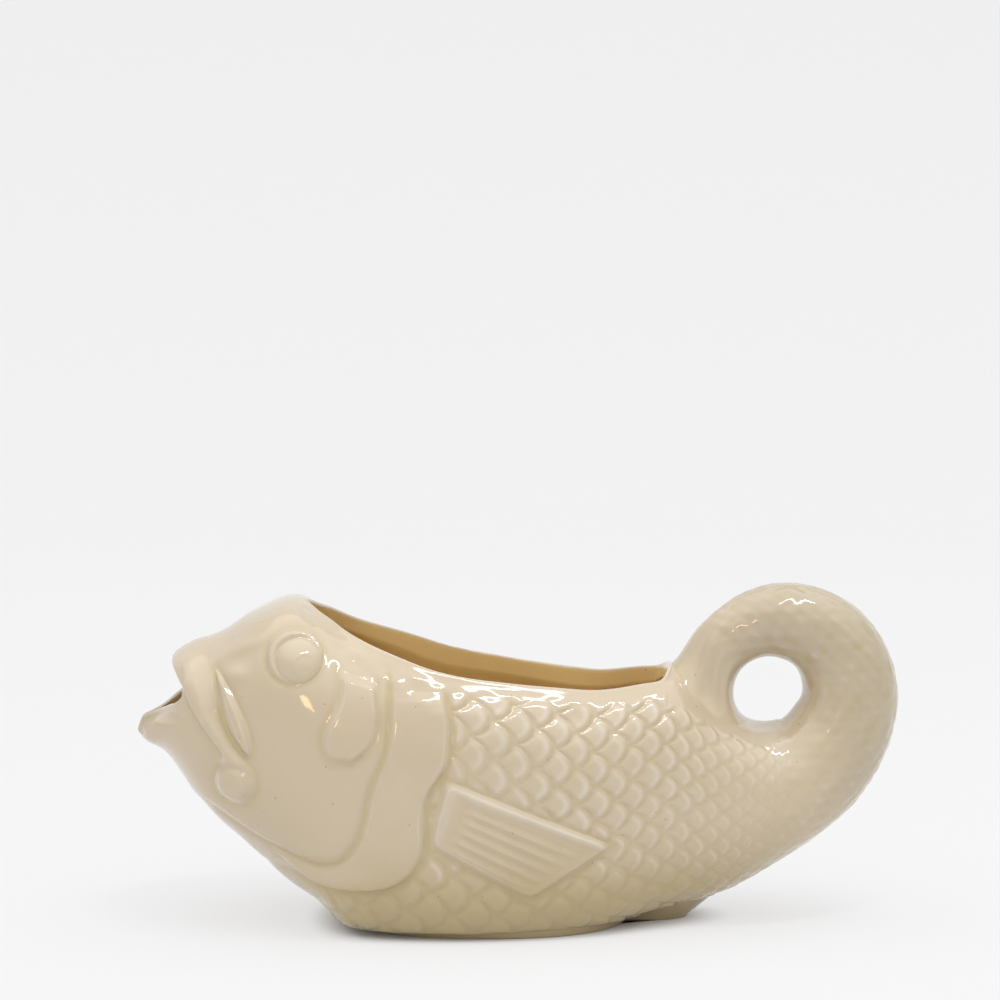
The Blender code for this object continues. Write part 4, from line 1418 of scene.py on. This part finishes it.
def foot_sides():
    """Loops of the foot's flared side, from a little inside the body's wall down to its rounded rim."""
    rise = FOOT_TOP - FOOT_ROUND
    whole = []
    for share in np.linspace(0, 1, FOOT_SIDE_ROWS):
        loop = foot_loop(FOOT_ROUND + rise * share, FOOT_FLARE * share, HEEL_LENGTH + HEEL_FLARE * share)
        whole.append(loop)
    whole = np.stack(whole)
    columns = np.arange(FOOT_POINTS)

    def loop_at(share):
        place = share * (len(whole) - 1)
        i = np.minimum(place.astype(int), len(whole) - 2)
        part = (place - i)[:, None]
        return whole[i, columns] * (1 - part) + whole[i + 1, columns] * part

    reach = np.ones(FOOT_POINTS)
    for _ in range(6):
        x, y = loop_at(reach)[:, :2].T
        reach = np.clip((belly_height(x, y) + FOOT_BITE - FOOT_ROUND) / rise, FOOT_LEAST_REACH, 1)
    return [loop_at(reach * share) for share in np.linspace(1, 0, FOOT_SIDE_ROWS)]


def foot(material):
    """Foot pad: loops from inside the body, down its flared side and under its rim to the hollow."""
    loops = foot_sides()
    for turn in np.radians((30, 60, 90)):
        inset = FOOT_ROUND * (1 - math.cos(turn))
        loops.append(foot_loop(FOOT_ROUND * (1 - math.sin(turn)), -inset, HEEL_LENGTH - inset))
    for z, inset in ((0.0, FOOT_RIM - FOOT_ROUND), (FOOT_ROUND, FOOT_RIM), (FOOT_TOP / 3, FOOT_RIM)):
        loops.append(foot_loop(z, -inset, -inset))
    loops.append(loops[0])
    mesh = Mesh()
    mesh.add_grid(np.stack(loops), FOOT_GLAZE, wrap=True)
    return mesh.build("foot", material, "foot_glaze", "foot_ring")


def edge_gaps(points):
    """Distances of each grid point, along the grid's own lines, from its first and last row and column."""
    def from_start(grid):
        steps = np.linalg.norm(np.diff(grid, axis=0), axis=-1)
        return np.concatenate([np.zeros((1, grid.shape[1])), np.cumsum(steps, axis=0)])

    across = points.transpose(1, 0, 2)
    return (from_start(points), from_start(points[::-1])[::-1],
            from_start(across).T, from_start(across[::-1]).T[:, ::-1])


def soft_edges(points, widths):
    """Share of a patch's height: 0 at its edges, eased to 1 over widths at its top, low end and sides."""
    return math.prod(ease(gap / width) for gap, width in zip(edge_gaps(points), widths))


def sprig(name, node, shape, side, scene, disc=False):
    """Raised patch on the moulded skin, closed below it, from its places, heights and glaze.

    Side is 1 for the left flank and -1 for the right, where the angles run the other way round. The grid of
    a disc runs from its centre out and round, so that only its last row is an edge.
    """
    along, angles, height, glaze = shape
    relief, depth = skin_relief(along, angles, scene.boat_vessel)
    mesh = Mesh()
    top = lifted(along, angles * side, relief + height)
    bottom = lifted(along, angles * side, relief + np.minimum(height, 0) - SPRIG_ROOT)
    mesh.add_grid(top, np.clip(depth + glaze, -1, 1))
    mesh.add_grid(bottom)
    borders = [(top[-1], bottom[-1])]
    if not disc:
        borders += [(top[0], bottom[0]), (top[:, 0], bottom[:, 0]), (top[:, -1], bottom[:, -1])]
    for upper, lower in borders:
        mesh.add_grid(np.stack([upper, lower]))
    return mesh.build(name, cream_glaze(scene), "cream_glaze", node)


def run_out(rise, edge):
    """Height of a patch that runs out just under the skin: (rise + sink) x edge - sink, edge 0 to 1."""
    return (rise + SPRIG_SINK) * edge - SPRIG_SINK


def strip_places(front, rear, steps, count):
    """Grid of places between smooth curves through two lists of edge points."""
    front = smooth_path(front, steps)[:, None]
    rear = smooth_path(rear, steps)[:, None]
    return front + (rear - front) * np.linspace(0, 1, count)[:, None]


def ridge(across, front, rear):
    """Share of a strip's height: eased up over a front part of its width and down over a rear part."""
    return ease(across / front) * ease((1 - across) / rear)


def crest_glaze(edge):
    """Glaze drawn thin where a patch rounds over its edge."""
    return -CREST_GLAZE * hump(edge, *CREST_PLACE)


def upper_lip(sizes):
    """Rolled lip over the snout: a rounded nose that wraps the mouth's edge, then a swell that runs out.

    Below the mouth's corners it narrows to a neck and ends in a round club.
    """
    mirror = np.array([1, -1])
    edges = []
    for edge in (LIP_FRONT, LIP_REAR):
        left = np.array(edge)
        edges.append(np.concatenate([left[:0:-1] * mirror, left]))
    places = strip_places(*edges, *LIP_GRID)
    along = places[..., 0]
    angles = places[..., 1]
    turn = np.abs(angles)
    across = np.linspace(0, 1, places.shape[1])[None]
    crown = up_from(LIP_CROWN, ease(turn / LIP_CROWN_TURN)) * ramp(across, *LIP_REAR_FADE)
    swell = sizes.lip * crown * up_from(LIP_SWELL, ease(across / LIP_SWELL_RISE))
    wrap = quarter_round(across / LIP_WRAP)
    nose = (swell + LIP_NOSE) * wrap - LIP_NOSE
    from_centre = np.linalg.norm(skin(along, angles)[..., [0, 2]] - np.asarray(CLUB_CENTRE), axis=-1)
    disc = ramp(from_centre, CLUB_RADIUS, -CLUB_FADE * CLUB_RADIUS)
    neck = NECK_RISE * ridge(across, *NECK_RIDGE) * ramp(turn, *NECK_END)
    club = run_out(CLUB_RISE * sizes.lip, (disc ** CLUB_MERGE + neck ** CLUB_MERGE) ** (1 / CLUB_MERGE))
    on_club = ramp(turn, *CLUB_START)
    height = nose * (1 - on_club) + club * on_club
    along = along + LIP_TUCK * (1 - on_club) * (1 - wrap)
    return along, angles, height, LIP_GLAZE * ease(height / sizes.lip)


def lip_fold(sizes):
    """Leaf-shaped fold behind the lip: a ridge nearer to its rear edge, running out at both ends."""
    places = strip_places(LIP_FOLD_FRONT, LIP_FOLD_REAR, *LIP_FOLD_GRID)
    along, angles = on_flank(places)
    across = np.linspace(0, 1, places.shape[1])[None]
    edge = ridge(across, *LIP_FOLD_RIDGE) * soft_edges(skin(along, angles), LIP_FOLD_EDGES)
    return along, angles, run_out(sizes.lip_fold, edge), crest_glaze(edge)


def cheek_plate(sizes):
    """Tongue-shaped plate behind the eye, highest along its rear edge and fading out towards the rim."""
    places = strip_places(CHEEK_FRONT, CHEEK_REAR, *CHEEK_GRID)
    along, angles = on_flank(places)
    edge = soft_edges(skin(along, angles), CHEEK_EDGES)
    rise = sizes.cheek * np.linspace(CHEEK_FRONT_LEVEL, 1.0, places.shape[1])
    return along, angles, run_out(rise, edge), crest_glaze(edge)


def gill_cover(sizes):
    """Curved band of the gill: low along the head, rising to a rounded free edge at the rear."""
    places = strip_places(GILL_FRONT, GILL_REAR, *GILL_GRID)
    along, angles = on_flank(places)
    edge = soft_edges(skin(along, angles), GILL_EDGES)
    rise = sizes.gill * up_from(GILL_FRONT_LEVEL, ease(np.linspace(0, GILL_OVERRUN, places.shape[1])))
    return along, angles, run_out(rise, edge), crest_glaze(edge)


def eye(sizes):
    """Domed eye: rings of places round a centre, a ball set low in them and a lid over its upper front.

    The ball is (1 - r^2)^n with a sunken pupil. The lid is what is left of the disc outside the ball.
    """
    share = np.linspace(0, 1, EYE_GRID[0])[:, None]
    turn = np.linspace(0, 2 * math.pi, EYE_GRID[1])[None]
    across = share * np.cos(turn)
    up = share * np.sin(turn)
    x = EYE_CENTRE[0] + EYE_HALF_LENGTH * across
    z = EYE_CENTRE[1] + EYE_HALF_HEIGHT * up
    along, angles = on_flank(np.stack([x, z], axis=-1))
    ball_share = np.hypot(across - EYE_BALL_SHIFT, up + EYE_BALL_SHIFT) / EYE_BALL_SIZE
    ball = np.clip(1 - ball_share ** 2, 0, 1) ** EYE_BALL_FULLNESS
    from_pupil = np.hypot(across - EYE_PUPIL[0], up - EYE_PUPIL[1])
    ball = ball - EYE_PUPIL_DEPTH * ball * (1 - ramp(from_pupil, *EYE_PUPIL_EDGE))
    lid = EYE_LID * ramp(ball_share, *EYE_LID_IN) * ramp(share, *EYE_LID_OUT)
    height = run_out(sizes.eye * np.maximum(ball, lid), ramp(share, *EYE_EDGE))
    return along, angles, height, EYE_GROOVE_GLAZE * hump(ball_share, *EYE_GROOVE) + EYE_GLAZE


def pectoral_fin(sizes):
    """Spread fin: a slab with a raised bar along its top, soft ribs along it and a thin rim at its edge."""
    down = np.linspace(0, 1, FIN_GRID[0])[:, None, None]
    out = np.linspace(0, 1, FIN_GRID[1])[None, :, None]
    root = np.asarray(FIN_TOP_ROOT) + np.subtract(FIN_LOW_ROOT, FIN_TOP_ROOT) * down
    tip = np.asarray(FIN_TIP) + np.subtract(FIN_HEEL, FIN_TIP) * down
    along, angles = on_flank(root + (tip - root) * out)
    gaps = edge_gaps(skin(along, angles))
    down = down[..., 0]
    out = out[..., 0]
    bar = hump(gaps[0], FIN_BAR, FIN_BAR)
    strip = FIN_STRIP_LEVEL * ramp(out, *FIN_STRIP)
    rim = FIN_RIM_LEVEL * hump(np.minimum(gaps[1], gaps[3]), FIN_RIM, FIN_RIM_WIDTH)
    rib_place = np.clip((down - FIN_RIB_START) / FIN_RIB_SPAN, 0, 1) * FIN_RIBS
    ribs = FIN_RIB_LEVEL * (1 - np.cos(2 * math.pi * rib_place))
    ribs = ribs * ramp(out, *FIN_RIBS_IN) * ramp(out, *FIN_RIBS_OUT)
    level = np.maximum(np.maximum(bar, strip), np.maximum(rim, ribs))
    corners = np.sqrt(sum(np.maximum(FIN_CORNER - gap, 0) ** 2 for gap in gaps))
    edge = ease((FIN_CORNER - corners) / FIN_EDGE)
    rise = (sizes.fin - sizes.fin_rib * (1 - level)) * up_from(FIN_ROOT_LEVEL, ease(out / FIN_ROOT_WIDTH))
    glaze = crest_glaze(edge) + FIN_VALLEY_GLAZE * (1 - level) + FIN_GLAZE
    return along, angles, run_out(rise, edge), glaze


HEAD_SPRIGS = (
    ("lip_leaf", "lip_fold", lip_fold, False),
    ("eye_ball", "eye", eye, True),
    ("cheek_tongue", "cheek_plate", cheek_plate, False),
    ("gill_band", "gill_cover", gill_cover, False),
)
FIN_SPRIGS = (("fin", "pectoral_fin", pectoral_fin, False),)


def flank_sprigs(sprigs, scene):
    """Raised parts of both flanks, named by their sides."""
    for side_name, side in SIDES:
        for piece, node, shape, disc in sprigs:
            places = shape(scene.boat_relief)
            sprig(f"{piece}_{side_name}", f"{node}_{side_name}", places, side, scene, disc)


class Value:
    """A socket of a shader tree. Arithmetic on values adds Math nodes to the tree."""

    def __init__(self, tree, socket):
        self.tree = tree
        self.socket = socket

    def node(self, kind, settings=None, inputs=None, output=0):
        """Add a node of a kind, set its settings, feed its sockets and return one of its outputs."""
        return add_node(self.tree, kind, settings, inputs, output)

    def math(self, operation, first, second):
        """Add a Math node."""
        return self.node("ShaderNodeMath", {"operation": operation}, {0: first, 1: second})

    def __add__(self, other):
        return self.math("ADD", self, other)

    def __sub__(self, other):
        return self.math("SUBTRACT", self, other)

    def __mul__(self, other):
        return self.math("MULTIPLY", self, other)

    def __rsub__(self, other):
        return self.math("SUBTRACT", other, self)

    __radd__ = __add__
    __rmul__ = __mul__

    def above(self, low, high):
        """Smooth share of the way from low to high, held between 0 and 1."""
        settings = {"interpolation_type": "SMOOTHSTEP"}
        return self.node("ShaderNodeMapRange", settings, {"Value": self, "From Min": low, "From Max": high})

    def mix(self, first, second, blend="MIX"):
        """Colour mixed from first to second by this value."""
        settings = {"data_type": "RGBA", "blend_type": blend}
        return self.node("ShaderNodeMix", settings, {0: self, 6: first, 7: second}, 2)


def add_node(tree, kind, settings=None, inputs=None, output=0):
    """Add a shader node, its settings first, then the values or links of its sockets."""
    node = tree.nodes.new(kind)
    for name, setting in (settings or {}).items():
        setattr(node, name, setting)
    for name, value in (inputs or {}).items():
        if isinstance(value, Value):
            tree.links.new(value.socket, node.inputs[name])
        else:
            node.inputs[name].default_value = value
    return Value(tree, node.outputs[output])


def opaque(colour):
    """Colour with full alpha."""
    return (*colour, 1.0)


def new_material(name):
    """Material with its shader tree and its Principled shader."""
    material = bpy.data.materials.new(name)
    material.use_nodes = True
    return material, material.node_tree, material.node_tree.nodes["Principled BSDF"]


def glaze_material(name, colours):
    """Cream glaze: yellower where it gathers, paler where it is thin, with specks and a faint ripple.

    It has painted shade low on the belly and round the tail, and painted warm bounce light inside the bowl.
    """
    material, tree, shader = new_material(name)
    place = add_node(tree, "ShaderNodeTexCoord", output="Object")

    def noise(scale, detail):
        inputs = {"Vector": place, "Scale": scale, "Detail": detail}
        return add_node(tree, "ShaderNodeTexNoise", None, inputs)

    depth = add_node(tree, "ShaderNodeAttribute", {"attribute_name": "glaze"}, output="Fac")
    depth = depth + (noise(*CLOUDS) - 0.5) * CLOUD_DEPTH + (noise(*GRAIN) - 0.5) * GRAIN_DEPTH
    x, z = (add_node(tree, "ShaderNodeSeparateXYZ", None, {"Vector": place}, axis) for axis in "XZ")
    # Painted shade low on the belly, from behind the chin back
    low = (1.0 - z.above(*LOW_SHADE_HEIGHTS)) * x.above(*LOW_SHADE_START_X)
    # Painted shade at the tail's rear and over its landing
    tail = x.above(*TAIL_SHADE_X)
    tail = tail + (1.0 - tail) * x.above(*LANDING_SHADE_X) * z.above(*LANDING_SHADE_Z)
    base = depth.above(*POOLED_DEPTH).mix(opaque(colours.cream), opaque(colours.pooled))
    # Mix in the painted low shade
    base = (low * LOW_SHADE_SHARE).mix(base, opaque(colours.low_shade))
    base = (0.0 - depth).above(*THIN_DEPTH).mix(base, opaque(colours.thin))
    # Multiply in the painted shade round the tail
    base = tail.mix(base, opaque(colours.tail_shade), "MULTIPLY")
    # Painted warm bounce light inside the bowl
    base = (0.0 - depth).above(*BOUNCE_LIGHT_DEPTH).mix(base, opaque(colours.inside))
    grains = add_node(tree, "ShaderNodeTexVoronoi", None, {"Vector": place, "Scale": SPECK_SCALE})
    speck = 1.0 - grains.above(*SPECK_SIZE)
    base = (speck * SPECK_SHARE).mix(base, opaque(colours.speck))
    ripple = {"Strength": 0.10, "Distance": 0.0006, "Height": noise(*RIPPLE) - SPECK_PIT * speck}
    bumped = add_node(tree, "ShaderNodeBump", None, ripple)
    tree.links.new(base.socket, shader.inputs["Base Color"])
    tree.links.new(bumped.socket, shader.inputs["Normal"])
    shader.inputs["Roughness"].default_value = colours.roughness
    shader.inputs["IOR"].default_value = 1.5
    shader.inputs["Coat Weight"].default_value = 0.6
    shader.inputs["Coat Roughness"].default_value = 0.03
    return material


def backdrop_material(colour):
    """Matt white of the floor and backdrop, shown with part of its own white to keep the shadow faint."""
    material, tree, shader = new_material("white_paper")
    shader.inputs["Base Color"].default_value = opaque(colour)
    shader.inputs["Roughness"].default_value = 0.9
    shader.inputs["Specular IOR Level"].default_value = 0.1
    seen = add_node(tree, "ShaderNodeLightPath", output="Is Camera Ray")
    for ray in ("Is Glossy Ray", "Is Transmission Ray"):
        seen = seen + add_node(tree, "ShaderNodeLightPath", output=ray)
    reach = {"Distance": CONTACT_REACH}
    open_sky = add_node(tree, "ShaderNodeAmbientOcclusion", {"samples": 8}, reach, "AO")
    share = seen * PAPER_SHARE * open_sky.above(*OPEN_RANGE)
    white = add_node(tree, "ShaderNodeEmission", None, {"Color": opaque(PAPER_WHITE), "Strength": 1.0})
    lit = Value(tree, shader.outputs[0])
    shown = add_node(tree, "ShaderNodeMixShader", None, {0: share, 1: lit, 2: white})
    tree.links.new(shown.socket, tree.nodes["Material Output"].inputs["Surface"])
    return material


def backdrop(colour):
    """Floor that sweeps up behind the object: a flat run, a quarter circle and a wall, carried across."""
    turn = np.linspace(0, math.pi / 2, 25)[1:]
    wall_y = FLOOR_BACK + SWEEP_RADIUS
    y = np.concatenate([[FLOOR_FRONT, 0.0, FLOOR_BACK], FLOOR_BACK + SWEEP_RADIUS * np.sin(turn), [wall_y]])
    z = np.concatenate([[0.0, 0.0, 0.0], SWEEP_RADIUS * (1 - np.cos(turn)), [WALL_TOP]])
    points = [np.stack([np.full_like(y, x), y, z], axis=-1) for x in (-STAGE_HALF_WIDTH, STAGE_HALF_WIDTH)]
    mesh = bpy.data.meshes.new("backdrop")
    mesh.from_pydata(np.concatenate(points).tolist(), [], grid_faces(2, len(y))[:, ::-1].tolist())
    mesh.shade_smooth()
    item = add_object("backdrop", mesh)
    mesh.materials.append(backdrop_material(colour))
    return item


def soft_lamp(name, power, setting):
    """Area lamp at a place, turned towards a target."""
    lamp = bpy.data.lights.new(name, "AREA")
    lamp.shape = "RECTANGLE"
    lamp.size, lamp.size_y = setting.size
    lamp.energy = power
    lamp.color = setting.colour
    item = add_object(name, lamp)
    item.location = setting.place
    item.rotation_euler = look_angles(setting.place, setting.target)
    return item


def look_angles(place, target):
    """Euler angles that point an object's -Z from a place to a target, with Z kept up."""
    x, y, z = np.array(target, float) - np.array(place, float)
    return (math.pi / 2 + math.atan2(z, math.hypot(x, y)), 0.0, math.atan2(y, x) - math.pi / 2)


def white_surround(zenith, horizon):
    """World: an even white that the glaze reflects, brighter overhead than at the horizon."""
    world = bpy.data.worlds.new("surround")
    world.use_nodes = True
    tree = world.node_tree
    background = tree.nodes["Background"]
    direction = add_node(tree, "ShaderNodeTexCoord", output="Generated")
    height = add_node(tree, "ShaderNodeSeparateXYZ", None, {"Vector": direction}, "Z")
    strength = height.above(*SKY_RANGE) * (zenith - horizon) + horizon
    background.inputs["Color"].default_value = (1.0, 1.0, 1.0, 1.0)
    tree.links.new(strength.socket, background.inputs["Strength"])
    bpy.context.scene.world = world


def camera(lens):
    """Camera at the photograph's viewing angle, a little above the rim."""
    view = bpy.data.cameras.new("camera")
    view.lens = lens
    view.sensor_width = SENSOR_WIDTH
    item = add_object("camera", view)
    item.location = (CAMERA_PLACE[0] + SHIFT, *CAMERA_PLACE[1:])
    item.rotation_euler = (math.radians(90 - CAMERA_TILT), 0.0, 0.0)
    bpy.context.scene.camera = item


def cream_glaze(scene):
    """The object's glaze, made once and shared."""
    return bpy.data.materials.get("dipped_glaze") or glaze_material("dipped_glaze", scene.boat_glaze)


class BOAT_OT_vessel(bpy.types.Operator):
    """Build the hollow body with its scales, rim and mouth."""

    bl_idname = "boat.vessel"
    bl_label = "Body"

    def execute(self, context):
        vessel(context.scene.boat_vessel, cream_glaze(context.scene))
        return {"FINISHED"}


class BOAT_OT_tail(bpy.types.Operator):
    """Build the curled tail that serves as the handle."""

    bl_idname = "boat.tail"
    bl_label = "Tail"

    def execute(self, context):
        curled_tail(context.scene.boat_vessel, cream_glaze(context.scene))
        return {"FINISHED"}


class BOAT_OT_foot(bpy.types.Operator):
    """Build the foot under the belly."""

    bl_idname = "boat.foot"
    bl_label = "Foot"

    def execute(self, context):
        foot(cream_glaze(context.scene))
        return {"FINISHED"}


class BOAT_OT_head(bpy.types.Operator):
    """Build the lip, lip folds, eyes, cheeks and gill covers."""

    bl_idname = "boat.head"
    bl_label = "Head"

    def execute(self, context):
        scene = context.scene
        sprig("upper_lip_roll", "upper_lip", upper_lip(scene.boat_relief), 1, scene)
        flank_sprigs(HEAD_SPRIGS, scene)
        return {"FINISHED"}


class BOAT_OT_fins(bpy.types.Operator):
    """Build the two pectoral fins."""

    bl_idname = "boat.fins"
    bl_label = "Fins"

    def execute(self, context):
        flank_sprigs(FIN_SPRIGS, context.scene)
        return {"FINISHED"}


class BOAT_OT_stage(bpy.types.Operator):
    """Set up the floor, lamps and camera."""

    bl_idname = "boat.stage"
    bl_label = "Stage"

    def execute(self, context):
        look = context.scene.boat_stage
        backdrop(look.floor)
        white_surround(look.zenith, look.horizon)
        soft_lamp("top_lamp", look.top_lamp, TOP_LAMP)
        soft_lamp("warm_lamp", look.warm_lamp, WARM_LAMP)
        camera(look.lens)
        context.scene.view_settings.view_transform = "Standard"
        return {"FINISHED"}


class BOAT_PT_panel(bpy.types.Panel):
    """Lists the steps that build the gravy boat."""

    bl_idname = "BOAT_PT_panel"
    bl_label = "Gravy Boat"
    bl_space_type = "VIEW_3D"
    bl_region_type = "UI"
    bl_category = "Gravy Boat"

    def draw(self, context):
        for operator in OPERATORS:
            self.layout.operator(operator.bl_idname)
        for name in GROUPS:
            group = getattr(context.scene, name)
            for key in group.__annotations__:
                self.layout.prop(group, key)


GROUPS = {
    "boat_vessel": VesselSizes,
    "boat_relief": ReliefSizes,
    "boat_glaze": GlazeColours,
    "boat_stage": StageLook,
}
OPERATORS = (BOAT_OT_vessel, BOAT_OT_tail, BOAT_OT_foot, BOAT_OT_head, BOAT_OT_fins, BOAT_OT_stage)
CLASSES = (*GROUPS.values(), *OPERATORS, BOAT_PT_panel)


def register():
    """Add the classes and the scene's property groups."""
    for item in CLASSES:
        bpy.utils.register_class(item)
    for name, group in GROUPS.items():
        setattr(bpy.types.Scene, name, bpy.props.PointerProperty(type=group))


def unregister():
    """Take away what register added."""
    for name in GROUPS:
        delattr(bpy.types.Scene, name)
    for item in reversed(CLASSES):
        bpy.utils.unregister_class(item)


def main():
    """Register the add-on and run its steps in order."""
    register()
    bpy.ops.boat.vessel()
    bpy.ops.boat.tail()
    bpy.ops.boat.foot()
    bpy.ops.boat.head()
    bpy.ops.boat.fins()
    bpy.ops.boat.stage()


if __name__ == "__main__":
    main()
